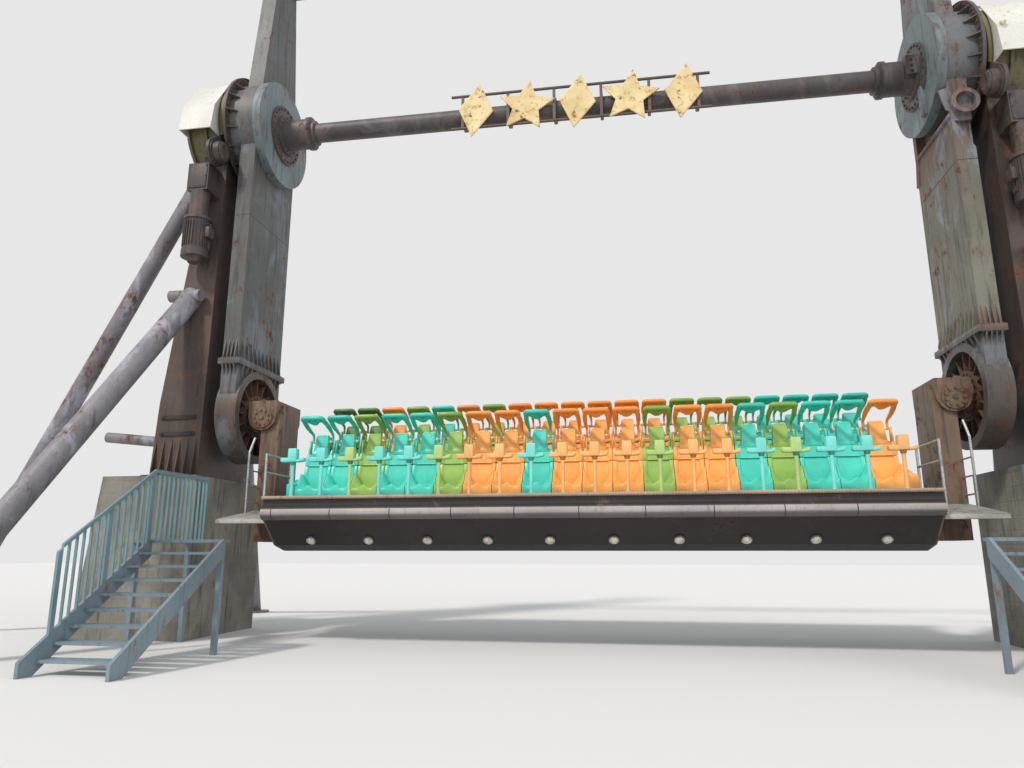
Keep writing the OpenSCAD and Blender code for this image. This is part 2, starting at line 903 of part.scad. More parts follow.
// Tube between the hubs with a bolted sleeve at each end
module cross_shaft() {
    sleeve_x = boss_x - sleeve_length;
    collar = 80;
    rim = 30;
    rim_set = 20;
    flange_t = 60;
    flange_lip = 110;
    color([0.36, 0.31, 0.29]) {
        bar_x(-boss_x, boss_x, shaft_r, 0, hub_z);
        for (side = ["left", "right"])
            on_side(side) {
                bar_x(sleeve_x, boss_x, sleeve_r, 0, hub_z);
                bar_x(sleeve_x - collar, sleeve_x, (sleeve_r + shaft_r) / 2, 0, hub_z);
                bar_x(sleeve_x + rim_set, sleeve_x + rim_set + collar, sleeve_r + rim, 0, hub_z);
                bar_x(boss_x - flange_t, boss_x, sleeve_r + flange_lip, 0, hub_z);
            }
    }
}

sign_rail_r = 30;
clamp_t = 60;
sign_y = -shaft_r - clamp_t;

// Two rails on clamps that carry the sign plates
module sign_frame() {
    clamp_w = 60;
    strap_half = 12;
    clamp_pitch = sign_half / 2.75;
    color([0.40, 0.36, 0.33]) {
        for (dir = [-1, 1])
            bar_x(-sign_half, sign_half, sign_rail_r, sign_y, hub_z + dir * sign_rail_rise);
        for (i = [-2.5 : 1 : 2.5])
            difference() {
                along_x(i * clamp_pitch - clamp_w / 2, i * clamp_pitch + clamp_w / 2)
                    union() {
                        translate([0, hub_z])
                            circle(r = shaft_r + clamp_t);
                        translate([sign_y - strap_half, hub_z - sign_rail_rise])
                            square([2 * strap_half, 2 * sign_rail_rise]);
                    }
                bar_x(-boss_x, boss_x, shaft_r + seat_of_curve, 0, hub_z);
            }
    }
}

function star(points, outer, inner) = [
    for (i = [0 : 2 * points - 1])
        let (r = i % 2 == 0 ? outer : inner, a = 90 + i * 180 / points)
            [r * cos(a), r * sin(a)]
];

// Five plain plates: lozenges and stars
module sign_plates() {
    plate_t = 30;
    front = sign_y - sign_rail_r - plate_t;
    spread = sign_half * 2 / 5;
    color([0.85, 0.76, 0.55])
        for (i = [-2 : 2])
            along_y(front, front + plate_t)
                translate([i * spread, hub_z])
                    rotate(-8)
                        if (i % 2 == 0)
                            polygon(star(2, plate_half, plate_half * 0.62));
                        else
                            polygon(star(5, plate_half, plate_half * 0.48));
}

// Gondola

// Floor plates of both rows and the step between them
module gondola_deck() {
    color([0.55, 0.50, 0.44])
        along_x(-deck_half, deck_half)
            polygon([[-deck_front, front_floor - deck_t], [step_y + riser_t, front_floor - deck_t],
                     [step_y + riser_t, back_floor - deck_t], [deck_back, back_floor - deck_t],
                     [deck_back, back_floor], [step_y, back_floor],
                     [step_y, front_floor], [-deck_front, front_floor]]);
}

fascia_x = deck_half;
fascia_set = 40;
band_t = 40;
moulding_drop = 290;
moulding_z = front_floor - moulding_drop;
moulding_r = 120;
moulding_y = -deck_front + fascia_set + band_t;

// Front fascia: a plain band with a rounded moulding below it, and a plain band at the back
module gondola_fascia() {
    back_band = 520;
    color([0.50, 0.46, 0.47]) {
        along_x(-fascia_x, fascia_x)
            union() {
                translate([moulding_y - band_t, moulding_z])
                    square([band_t, front_floor - deck_t - moulding_z]);
                difference() {
                    translate([moulding_y, moulding_z])
                        circle(r = moulding_r);
                    translate([moulding_y, moulding_z - 2 * moulding_r])
                        square([2 * moulding_r, 4 * moulding_r]);
                }
            }
        along_x(-fascia_x, fascia_x)
            translate([deck_back - band_t, back_floor - deck_t - back_band])
                square([band_t, back_band]);
    }
}

// Corners of the hull, as depths and drops below the front floor
belly_front = moulding_y;
belly_wall = 60;
front_drop = moulding_drop + moulding_r / 2;
bilge_y = -1420;
bilge_drop = 830;
keel_y = -1000;
keel_back = 700;
keel_drop = 930;
stern_drop = 500;
riser_t = 20;

// Outline of the hull, drawn in by a wall
function belly_points(w) = [
    [belly_front + w, front_floor - deck_t - w], [belly_front + w, front_floor - front_drop],
    [bilge_y + w * 0.6, front_floor - bilge_drop + w], [keel_y, front_floor - keel_drop + w],
    [keel_back, front_floor - keel_drop + w], [deck_back - band_t - w, front_floor - stern_drop + w * 0.6],
    [deck_back - band_t - w, back_floor - deck_t - w], [step_y + riser_t + w, back_floor - deck_t - w],
    [step_y + riser_t + w, front_floor - deck_t - w]
];

// Open-ended hull under the deck; the side frames close its ends
module gondola_belly() {
    color([0.20, 0.16, 0.15])
        along_x(-fascia_x, fascia_x)
            difference() {
                polygon(belly_points(0));
                polygon(belly_points(belly_wall));
                translate([moulding_y, moulding_z])
                    circle(r = moulding_r + seat_of_curve);
            }
}

// Round lamps along the front slope of the hull
module belly_lamps() {
    lamps = seats / 2;
    lamp_r = 85;
    lamp_t = 45;
    slope = atan2(bilge_drop - front_drop, bilge_y - belly_front);
    down = 0.8;
    lamp_y = belly_front + down * (bilge_y - belly_front);
    lamp_z = front_floor - front_drop - down * (bilge_drop - front_drop);
    color([0.85, 0.80, 0.65])
        for (i = [0 : lamps - 1])
            translate([(i - (lamps - 1) / 2) * 2 * seat_pitch, lamp_y, lamp_z])
                rotate([-slope, 0, 0])
                    translate([0, 0, -lamp_t])
                        cylinder(h = lamp_t, r = lamp_r);
}

// Side beam from under the deck up to the pivot head, with its trunnion
beam_gap = 550;
beam_in = deck_half + beam_gap;
beam_front = -500;
beam_drop = 760;
head_set = 50;
head_in = beam_in + head_set;
head_width = 590;

module side_frame(side) {
    foot_z = front_floor - beam_drop;
    beam_back = beam_front + side_beam_d;
    shoulder_low = pivot_z - 100;
    shoulder_high = pivot_z + 180;
    shoulder = 200;
    cross_beam_top = front_floor - deck_t - 140;
    end_plate_t = 30;
    trunnion_end = arm_out - 20;
    color([0.48, 0.34, 0.26])
        on_side(side) {
            along_x(beam_in, beam_in + side_beam_w)
                polygon([[beam_front, foot_z], [beam_back, foot_z], [beam_back, shoulder_low],
                         [beam_back - shoulder, shoulder_high], [beam_front + shoulder, shoulder_high],
                         [beam_front, shoulder_low]]);
            block([fascia_x, beam_front, foot_z], [beam_in, beam_back, cross_beam_top]);
            along_x(fascia_x, fascia_x + end_plate_t)
                polygon(belly_points(0));
            pivot_head();
            bar_x(head_in + head_width, trunnion_end, trunnion_r, 0, pivot_z);
            end_step();
        }
}

// Round-bottomed housing on top of the side beam, with a bolted round cover on its front
module pivot_head() {
    half = head_width / 2;
    mid = head_in + half;
    proud = 60;
    front = beam_front - proud;
    back = 520;
    round_z = pivot_z - 60;
    head_h = 300;
    collar = 60;
    collar_t = 40;
    cover_z = pivot_z - 100;
    cover_r = 210;
    cover_t = 30;
    knob_ring = 150;
    knob_r = 26;
    centre_r = 40;
    along_y(front, back)
        union() {
            translate([mid, round_z])
                circle(r = half);
            translate([mid - half, round_z])
                square([head_width, head_h]);
        }
    bar_x(head_in + head_width - collar_t, head_in + head_width, trunnion_r + collar, 0, pivot_z);
    bar_y(front - cover_t, front, cover_r, mid, cover_z);
    for (a = [0 : 40 : 320])
        bar_y(front - 2 * cover_t, front - cover_t, knob_r,
              mid + knob_ring * cos(a), cover_z + knob_ring * sin(a));
    bar_y(front - 2 * cover_t, front - cover_t, centre_r, mid, cover_z);
}

// Sloping tread plate outside the end of the deck
lip_drop = 400;
lip = front_floor - lip_drop;
step_front = -1850;
step_knee = -1750;
step_t = 60;
step_knee_rise = 30;
step_rise = 230;
step_back_t = 100;
step_end = 20;

module end_step() {
    along_x(fascia_x + step_end, beam_in + side_beam_w + step_end)
        polygon([[step_front, lip - step_t], [step_front, lip], [step_knee, lip + step_knee_rise],
                 [beam_front, lip + step_rise], [beam_front, lip + step_rise - step_back_t],
                 [step_knee, lip - step_t]]);
}

// The space of the step and below it, which the rails stand on
module end_step_body(extra) {
    around = 100;
    below = 200;
    along_x(fascia_x - around, beam_in + side_beam_w + around)
        polygon([[step_front - around, lip - below], [step_front - around, lip + extra],
                 [step_front, lip + extra], [step_knee, lip + step_knee_rise + extra],
                 [beam_front, lip + step_rise + extra], [beam_front, lip - below]]);
}

// Handrail at the deck end and the ladder to the pivot head
module end_rails(side) {
    r = 22;
    rail_r = 19;
    rung_r = 15;
    knuckle_r = 23;
    post_x = deck_half + 100;
    post_front = -1780;
    post_back = -800;
    top = front_floor + 770;
    low = front_floor + 440;
    post_over = 10;
    top_rail = top - 12;
    ladder_x = beam_in + side_beam_w - 40;
    ladder_y = beam_front - 450;
    ladder_top = pivot_z - 850;
    ladder_end = beam_front - 280;
    ladder_climb = 300;
    rung_start = 380;
    rung_pitch = 300;
    rung_stop = 100;
    color([0.62, 0.64, 0.66])
        on_side(side)
            difference() {
                union() {
                    for (y = [post_front, post_back])
                        translate([post_x, y, lip])
                            cylinder(h = top + post_over - lip, r = r);
                    for (z = [top_rail, low])
                        bar_y(post_front, post_back, rail_r, post_x, z);
                    translate([ladder_x, ladder_y, lip])
                        cylinder(h = ladder_top - lip, r = r);
                    translate([ladder_x, ladder_y, ladder_top])
                        sphere(r = knuckle_r);
                    bar([ladder_x, ladder_y, ladder_top],
                        [ladder_x, ladder_end, ladder_top + ladder_climb], r);
                    for (z = [lip + rung_start : rung_pitch : ladder_top - rung_stop])
                        bar_y(ladder_y, beam_front - seat_of_curve, rung_r, ladder_x, z);
                }
                end_step_body(seat_of_curve);
            }
}

// Seats

// Repeats a piece for each seat of a row that stands on a floor
module each_seat(dy, floor_z) {
    for (i = [0 : seats - 1])
        translate([seat_x(i), dy, floor_z])
            children();
}

// Back shell: leaning back with side wings, narrow head and two ears that hold the pin
module seat_back() {
    knob_x = (head_half + neck_half) / 2 + 6;
    knob_w = 36;
    knob_r = 34;
    seam_y = base_back + 60;
    shoulder_front = base_back + 120;
    shoulder_back = -620;
    head_front = base_back + 210;
    head_back = -590;
    spine = -690;
    pin_root = 5;
    intersection() {
        along_x(-seat_half, seat_half)
            polygon([[base_back, 0], [base_back, cheek_z], [seam_y, back_seam],
                     [shoulder_front, back_shoulder], [head_front, head_top],
                     [head_back, head_top], [shoulder_back, back_shoulder], [spine, pan_z], [spine, 0]]);
        along_y(base_front, 0)
            polygon([[-seat_half, 0], [seat_half, 0], [seat_half, ear_top], [seat_half - ear_w, ear_top],
                     [seat_half - ear_w, back_shoulder], [shoulder_half, back_shoulder],
                     [neck_half, back_shoulder + neck_rise], [head_half, head_top],
                     [-head_half, head_top], [-neck_half, back_shoulder + neck_rise],
                     [-shoulder_half, back_shoulder], [-seat_half + ear_w, back_shoulder],
                     [-seat_half + ear_w, ear_top], [-seat_half, ear_top]]);
    }
    bar_x(-seat_half + ear_w - pin_root, seat_half - ear_w + pin_root, pin_r,
          restraint_y, restraint_rise);
    for (dir = [-1, 1])
        bar_x(dir * knob_x - knob_w / 2, dir * knob_x + knob_w / 2, knob_r, restraint_y, restraint_rise);
}

// Bucket: pan with raised sides and a humped front lip
module seat_base() {
    toe = 20;
    lip_low = 130;
    lip_front = 15;
    lip_high = 190;
    lip_back = 70;
    lip_top = 250;
    hollow_r = 150;
    hollow_x = seat_half * 0.454;
    hollow_z = 340;
    hollow_end = base_back - 60;
    cheek_t = 36;
    cheek_x = seat_half - cheek_t / 2;
    cheek_front = base_front + 60;
    cheek_low = 200;
    cheek_top_front = base_back - 100;
    difference() {
        along_x(-seat_half, seat_half)
            polygon([[base_front + toe, 0], [base_front, lip_low], [base_front + lip_front, lip_high],
                     [base_front + lip_back, lip_top], [base_back, pan_z], [base_back, 0]]);
        for (dir = [-1, 1])
            bar_y(base_front - past, hollow_end, hollow_r, dir * hollow_x, hollow_z);
    }
    for (dir = [-1, 1])
        along_x(dir * cheek_x - cheek_t / 2, dir * cheek_x + cheek_t / 2)
            polygon([[cheek_front, cheek_low], [cheek_top_front, cheek_z], [base_back, cheek_z],
                     [base_back, cheek_low]]);
}

// Low side housing beyond the last seat of a row
module row_end(dir) {
    housing_w = 140;
    root = 5;
    nose = 40;
    nose_z = 260;
    top_z = 300;
    heel = 200;
    heel_z = 310;
    back_z = 400;
    inner = seat_half - root;
    outer = seat_half + housing_w;
    translate([dir * (inner + outer) / 2, 0, 0])
        along_x(-(outer - inner) / 2, (outer - inner) / 2)
            polygon([[base_front - nose, 0], [base_front - nose, nose_z], [base_front, top_z],
                     [base_back - heel, heel_z], [base_back, back_z], [base_back, 0]]);
}

// The bases of one row, with the housings at its ends
module row_of_bases() {
    for (i = [0 : seats - 1])
        translate([seat_x(i), 0, 0]) {
            seat_base();
            if (i == 0)
                row_end(-1);
            if (i == seats - 1)
                row_end(1);
        }
}

// Upright post with a padded crossbar and a box head in front of each seat
module grab_post() {
    post_r = 37;
    bar_z = 600;
    bar_half = seat_half * 0.865;
    bar_d = 70;
    bar_t = 70;
    tip = 75;
    tip_rise = 110;
    head_half_x = 85;
    head_half_y = 75;
    head_root = 60;
    head_rise = 250;
    translate([0, post_y, 0])
        cylinder(h = bar_z, r = post_r);
    along_y(post_y - bar_d, post_y + bar_d)
        polygon([[-bar_half, bar_z], [bar_half, bar_z], [bar_half, bar_z + tip_rise],
                 [bar_half - tip, bar_z + bar_t], [-bar_half + tip, bar_z + bar_t],
                 [-bar_half, bar_z + tip_rise]]);
    block([-head_half_x, post_y - head_half_y, bar_z + head_root],
          [head_half_x, post_y + head_half_y, bar_z + head_rise]);
}

// Raised frame: two legs that rise from the pin, bend forward and widen into a chest panel,
// with a round bar at its end
module restraint_frame() {
    half_t = 30;
    bar_r = 44;
    elbow = 130;
    panel = 170;
    opening_half = seat_half * 0.45;
    boss_r = 45;
    boss_x = (boss_in + restraint_half) / 2;
    bar_end = 15;
    side = 200;
    run = norm([restraint_reach, restraint_climb - elbow]);
    climb = atan2(restraint_climb - elbow, restraint_reach);
    across = [half_t * sin(climb), half_t * cos(climb)];
    mitre = half_t * tan((90 - climb) / 2);
    translate([0, restraint_y, restraint_rise])
        difference() {
            union() {
                along_x(-leg_out, leg_out)
                    polygon([[-half_t, 0], [half_t, 0], [half_t, elbow + mitre],
                             [across[0] - restraint_reach, restraint_climb + across[1]],
                             [-across[0] - restraint_reach, restraint_climb - across[1]],
                             [-half_t, elbow - mitre]]);
                bar_x(-restraint_half - bar_end, restraint_half + bar_end, bar_r,
                      -restraint_reach, restraint_climb);
            }
            translate([0, 0, elbow])
                rotate([90 - climb, 0, 0])
                    along_y(-side, side)
                        polygon([[-leg_in, -side], [leg_in, -side], [leg_in, half_t],
                                 [opening_half, run - panel], [-opening_half, run - panel],
                                 [-leg_in, half_t]]);
            bar_x(-seat_half, seat_half, pin_r + running, 0, 0);
        }
    translate([0, restraint_y, restraint_rise])
        for (dir = [-1, 1])
            difference() {
                bar_x(dir * boss_x - boss_w / 2, dir * boss_x + boss_w / 2, boss_r, 0, 0);
                bar_x(-seat_half, seat_half, pin_r + running, 0, 0);
            }
}

module front_seat_backs() {
    color([0.95, 0.55, 0.25])
        each_seat(0, front_floor)
            seat_back();
}

module front_seat_bases() {
    color([0.95, 0.65, 0.30])
        translate([0, 0, front_floor])
            row_of_bases();
}

module back_seat_backs() {
    color([0.30, 0.70, 0.60])
        each_seat(row_pitch, back_floor)
            seat_back();
}

module back_seat_bases() {
    color([0.35, 0.75, 0.65])
        translate([0, row_pitch, back_floor])
            row_of_bases();
}

module front_grab_posts() {
    color([0.90, 0.75, 0.50])
        each_seat(0, front_floor)
            grab_post();
}

module back_grab_posts() {
    color([0.70, 0.85, 0.65])
        each_seat(row_pitch, back_floor)
            grab_post();
}

module front_restraints() {
    color([0.85, 0.45, 0.15])
        each_seat(0, front_floor)
            restraint_frame();
}

module back_restraints() {
    color([0.35, 0.60, 0.25])
        each_seat(row_pitch, back_floor)
            restraint_frame();
}

tower_column("left");  // left_tower_column
tower_column("right");  // right_tower_column
tower_head("left");  // left_tower_head
tower_head("right");  // right_tower_head
head_cover("left");  // left_head_cover
head_cover("right");  // right_head_cover
drive_motor("left");  // left_drive_motor
drive_motor("right");  // right_drive_motor
struts("left");  // left_struts
struts("right");  // right_struts
plinth("left");  // left_plinth
plinth("right");  // right_plinth
stairs("left");  // left_stairs
stairs("right");  // right_stairs
stair_rail("left");  // left_stair_rail
stair_rail("right");  // right_stair_rail
upper_arm("left");  // left_upper_arm
upper_arm("right");  // right_upper_arm
lower_arm("left");  // left_lower_arm
lower_arm("right");  // right_lower_arm
arm_end("left");  // left_arm_end
arm_end("right");  // right_arm_end
pivot_bearing("left");  // left_pivot_bearing
pivot_bearing("right");  // right_pivot_bearing
hub("left");  // left_hub
hub("right");  // right_hub
slewing_ring("left");  // left_slewing_ring
slewing_ring("right");  // right_slewing_ring
counterweight("left");  // left_counterweight
counterweight("right");  // right_counterweight
cross_shaft();
sign_frame();
sign_plates();
gondola_deck();
gondola_fascia();
gondola_belly();
belly_lamps();
side_frame("left");  // left_side_frame
side_frame("right");  // right_side_frame
end_rails("left");  // left_end_rails
end_rails("right");  // right_end_rails
front_seat_backs();
front_seat_bases();
back_seat_backs();
back_seat_bases();
front_grab_posts();
back_grab_posts();
front_restraints();
back_restraints();
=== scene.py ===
# %% [markdown]
# A fairground ride with two braced towers. Each tower turns a long arm on a high axis, and the two arms carry
# a gondola with two rows of moulded seats. The construction comes ready as a frame of CAD pieces, which are
# never moved or changed. This lesson dresses that frame: the CAD pieces get their paint, rust and grime, and
# the moulded seats, restraints, bolts and small fittings are modelled over them.

# %% Load the frame
import json
import math

import bmesh
import bpy
from mathutils import Matrix, Vector

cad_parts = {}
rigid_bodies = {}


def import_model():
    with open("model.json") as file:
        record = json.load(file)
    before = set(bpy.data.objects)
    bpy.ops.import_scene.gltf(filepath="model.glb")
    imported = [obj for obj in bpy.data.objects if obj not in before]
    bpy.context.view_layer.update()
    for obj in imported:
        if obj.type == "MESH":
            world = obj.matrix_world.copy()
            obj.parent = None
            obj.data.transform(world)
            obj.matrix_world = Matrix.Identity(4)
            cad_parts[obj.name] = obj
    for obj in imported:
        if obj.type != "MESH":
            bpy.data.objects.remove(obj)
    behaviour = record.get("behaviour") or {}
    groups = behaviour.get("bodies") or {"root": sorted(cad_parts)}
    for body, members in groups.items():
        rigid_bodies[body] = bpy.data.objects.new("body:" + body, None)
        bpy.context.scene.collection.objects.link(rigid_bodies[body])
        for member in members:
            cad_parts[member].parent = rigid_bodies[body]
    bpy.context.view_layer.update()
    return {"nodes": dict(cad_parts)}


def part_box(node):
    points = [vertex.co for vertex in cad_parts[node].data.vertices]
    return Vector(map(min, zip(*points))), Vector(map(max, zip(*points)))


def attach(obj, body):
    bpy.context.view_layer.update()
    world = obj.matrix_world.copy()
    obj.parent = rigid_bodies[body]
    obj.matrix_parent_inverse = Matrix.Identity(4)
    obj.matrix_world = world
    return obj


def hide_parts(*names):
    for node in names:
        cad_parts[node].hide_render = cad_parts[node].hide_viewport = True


bpy.ops.object.select_all(action="SELECT")
bpy.ops.object.delete()
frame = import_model()

# %% [markdown]
# The stations that the dressing hangs on are read from the frame, so that the new pieces stay on the CAD
# pieces that carry them. Smaller sizes are named in the cells that use them. X runs along the gondola, Y from
# the front to the back, Z up, and all sizes are metres.

# %% Stations read from the frame
SIDES = ("left", "right")


def middle(node):
    low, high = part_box(node)
    return (low + high) / 2


HUB_Z = middle("cross_shaft").z
BOSS_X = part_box("right_hub")[0].x
ARM_IN, ARM_OUT = (corner.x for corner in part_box("right_upper_arm"))
TOWER_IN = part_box("right_tower_head")[0].x
DECK_FRONT, DECK_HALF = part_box("gondola_deck")[0].y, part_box("gondola_deck")[1].x
SIGN_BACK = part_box("sign_plates")[1].y
FRONT_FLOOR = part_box("front_seat_bases")[0].z
BACK_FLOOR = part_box("back_seat_bases")[0].z
SEATS, SEAT_GAP = 20, 0.01
SEAT_PITCH = (2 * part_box("front_seat_backs")[1].x + SEAT_GAP) / SEATS
SEAT_HALF = (SEAT_PITCH - SEAT_GAP) / 2
ROW_BACK = middle("back_seat_bases").y - middle("front_seat_bases").y
print("hub", HUB_Z, "arm", ARM_IN, ARM_OUT, "seat pitch", SEAT_PITCH, "row step", ROW_BACK)

# %% [markdown]
# The camera stands on the ground in front of the gondola, a little right of its middle, and looks up and
# slightly to the left. It could be placed by eye, but it was worked out from the edges of the arms, the deck
# and the horizon, so that every piece can be compared in place.

# %% Camera
CAMERA_PLACE = Vector((0.93, -14.31, 1.60))
CAMERA_UP, CAMERA_LEFT = 12.54, 9.37
FOCAL, SENSOR, FARTHEST = 26.37, 36.0, 400

camera_data = bpy.data.cameras.new("photo_camera")
camera_data.lens, camera_data.sensor_width = FOCAL, SENSOR
camera_data.clip_end = FARTHEST
camera = bpy.data.objects.new("photo_camera", camera_data)
bpy.context.scene.collection.objects.link(camera)
camera.location = CAMERA_PLACE
camera.rotation_euler = (math.radians(90 + CAMERA_UP), 0, math.radians(CAMERA_LEFT))
bpy.context.scene.camera = camera
print("camera", tuple(camera.location))

# %% [markdown]
# The ride stands on a plain pale floor. The sky is white where the camera, a mirror or glass looks at it, but
# it lights the ride more gently, so that pale paint doesn't wash out. One large lamp stands for the sun,
# which comes from the upper left in front, and a weaker one opens up the shaded side.

# %% Floor, sky and lamps
FLOOR_SIZE, FLOOR_COLOUR = 160, (0.74, 0.73, 0.71, 1)
SKY_LIGHT, SKY_SEEN, SKY_COLOUR = 0.62, 1.0, (0.93, 0.96, 1, 1)


def pale_floor():
    bpy.ops.object.select_all(action="DESELECT")
    bpy.ops.mesh.primitive_plane_add(size=FLOOR_SIZE, location=(0, 0, 0))
    floor = bpy.context.object
    floor.name = "floor"
    paint = bpy.data.materials.new("floor_paint")
    paint.use_nodes = True
    shader = paint.node_tree.nodes["Principled BSDF"]
    shader.inputs["Base Color"].default_value = FLOOR_COLOUR
    shader.inputs["Roughness"].default_value = 0.9
    floor.data.materials.append(paint)


def white_sky():
    world = bpy.data.worlds.new("sky")
    bpy.context.scene.world = world
    world.use_nodes = True
    tree = world.node_tree
    tree.nodes.clear()
    output = tree.nodes.new("ShaderNodeOutputWorld")
    light = tree.nodes.new("ShaderNodeBackground")
    light.inputs["Color"].default_value = SKY_COLOUR
    light.inputs["Strength"].default_value = SKY_LIGHT
    seen = tree.nodes.new("ShaderNodeBackground")
    seen.inputs["Strength"].default_value = SKY_SEEN
    path = tree.nodes.new("ShaderNodeLightPath")
    mix = tree.nodes.new("ShaderNodeMixShader")
    plain = path.outputs["Is Camera Ray"]
    for kind in ("Is Glossy Ray", "Is Transmission Ray"):
        either = tree.nodes.new("ShaderNodeMath")
        either.operation = "MAXIMUM"
        tree.links.new(plain, either.inputs[0])
        tree.links.new(path.outputs[kind], either.inputs[1])
        plain = either.outputs[0]
    tree.links.new(plain, mix.inputs["Fac"])
    tree.links.new(light.outputs[0], mix.inputs[1])
    tree.links.new(seen.outputs[0], mix.inputs[2])
    tree.links.new(mix.outputs[0], output.inputs["Surface"])


def sun(name, strength, angle, colour, heading, height):
    """A far lamp with its own angle across, its heading and its height above the horizon, in degrees."""
    data = bpy.data.lights.new(name, "SUN")
    data.energy, data.angle, data.color = strength, math.radians(angle), colour
    lamp = bpy.data.objects.new(name, data)
    bpy.context.scene.collection.objects.link(lamp)
    lamp.rotation_euler = (math.radians(90 - height), 0, math.radians(heading))


pale_floor()
white_sky()
sun("key", strength=2.1, angle=7, colour=(1, 0.965, 0.91), heading=-32, height=47)
sun("fill", strength=0.7, angle=40, colour=(0.9, 0.95, 1), heading=48, height=28)
bpy.context.scene.view_settings.view_transform = "Standard"
print("floor, sky and two lamps")

# %% [markdown]
# Colours are named here by the red, green and blue that a screen shows, because that is how they are compared
# by eye. The shader reckons in linear light, so each one is converted once, in code.

# %% Colours
def srgb(red, green, blue):
    """A colour named by its 0 to 255 screen values, as the shader wants it."""
    def line(value):
        value = value / 255
        return value / 12.92 if value <= 0.04045 else ((value + 0.055) / 1.055) ** 2.4
    return (line(red), line(green), line(blue), 1)


def shaded(colour, share):
    """The same colour, darker below a share of one and lighter above it."""
    return tuple(min(1, part * share) for part in colour[:3]) + (1,)


print("mid grey is", round(srgb(128, 128, 128)[0], 3), "in linear light")

# %% [markdown]
# The steel of this ride is old paint in many layers. Rain has drawn dark runs down it, rust has broken
# through in patches, and dust sits in it all over. One photograph of such paint could be wrapped round each
# piece, but noise in the piece's own metres has no seams and can be looked at from close by. Each finish
# below is a few noises at the size of the real marks: broad fading, runs drawn out along Z, rust patches
# with hard edges, and fine grain that also roughens the surface.

# %% Helpers for finishes
class Finish:
    """A material in the making: each method adds one node and returns its output."""

    def __init__(self, name, roughness=0.6, metallic=0.0):
        self.material = bpy.data.materials.new(name)
        self.material.use_nodes = True
        self.tree = self.material.node_tree
        self.shader = self.tree.nodes["Principled BSDF"]
        self.shader.inputs["Roughness"].default_value = roughness
        self.shader.inputs["Metallic"].default_value = metallic
        self.place = self.tree.nodes.new("ShaderNodeTexCoord").outputs["Object"]

    def stretched(self, scale, turn=(0, 0, 0)):
        node = self.tree.nodes.new("ShaderNodeMapping")
        node.inputs["Scale"].default_value = scale
        node.inputs["Rotation"].default_value = [math.radians(angle) for angle in turn]
        self.tree.links.new(self.place, node.inputs["Vector"])
        return node.outputs["Vector"]

    def noise(self, scale, detail=5, rough=0.6, along=None, warp=0.0):
        node = self.tree.nodes.new("ShaderNodeTexNoise")
        node.inputs["Scale"].default_value = scale
        node.inputs["Detail"].default_value = detail
        node.inputs["Roughness"].default_value = rough
        node.inputs["Distortion"].default_value = warp
        self.tree.links.new(along or self.place, node.inputs["Vector"])
        return node.outputs["Fac"]

    def cells(self, scale, along=None):
        node = self.tree.nodes.new("ShaderNodeTexVoronoi")
        node.inputs["Scale"].default_value = scale
        self.tree.links.new(along or self.place, node.inputs["Vector"])
        return node.outputs["Distance"]

    def ramp(self, value, start, end, low=0.0, high=1.0):
        node = self.tree.nodes.new("ShaderNodeMapRange")
        node.interpolation_type = "SMOOTHSTEP"
        node.inputs["From Min"].default_value = start
        node.inputs["From Max"].default_value = end
        node.inputs["To Min"].default_value = low
        node.inputs["To Max"].default_value = high
        self.tree.links.new(value, node.inputs["Value"])
        return node.outputs["Result"]

    def sum(self, first, second, operation="ADD"):
        node = self.tree.nodes.new("ShaderNodeMath")
        node.operation = operation
        for slot, value in zip(node.inputs, (first, second)):
            if isinstance(value, (int, float)):
                slot.default_value = value
            else:
                self.tree.links.new(value, slot)
        return node.outputs[0]

    def mix(self, share, first, second):
        node = self.tree.nodes.new("ShaderNodeMix")
        node.data_type = "RGBA"
        self.tree.links.new(share, node.inputs["Factor"])
        for slot, value in ((node.inputs["A"], first), (node.inputs["B"], second)):
            if isinstance(value, tuple):
                slot.default_value = value
            else:
                self.tree.links.new(value, slot)
        return node.outputs["Result"]

    def height(self, axis="Z"):
        node = self.tree.nodes.new("ShaderNodeSeparateXYZ")
        self.tree.links.new(self.place, node.inputs[0])
        return node.outputs[axis]

    def colour(self, value):
        self.tree.links.new(value, self.shader.inputs["Base Color"])

    def roughness(self, value):
        self.tree.links.new(value, self.shader.inputs["Roughness"])

    def bump(self, value, depth, strength=0.6):
        node = self.tree.nodes.new("ShaderNodeBump")
        node.inputs["Strength"].default_value = strength
        node.inputs["Distance"].default_value = depth
        self.tree.links.new(value, node.inputs["Height"])
        self.tree.links.new(node.outputs["Normal"], self.shader.inputs["Normal"])


print("finish helpers ready")

# %% [markdown]
# Old paint is the finish of almost every steel piece here, so it is written once. The pieces differ in their
# paint, in what shows under it, and in how far the weather has got.

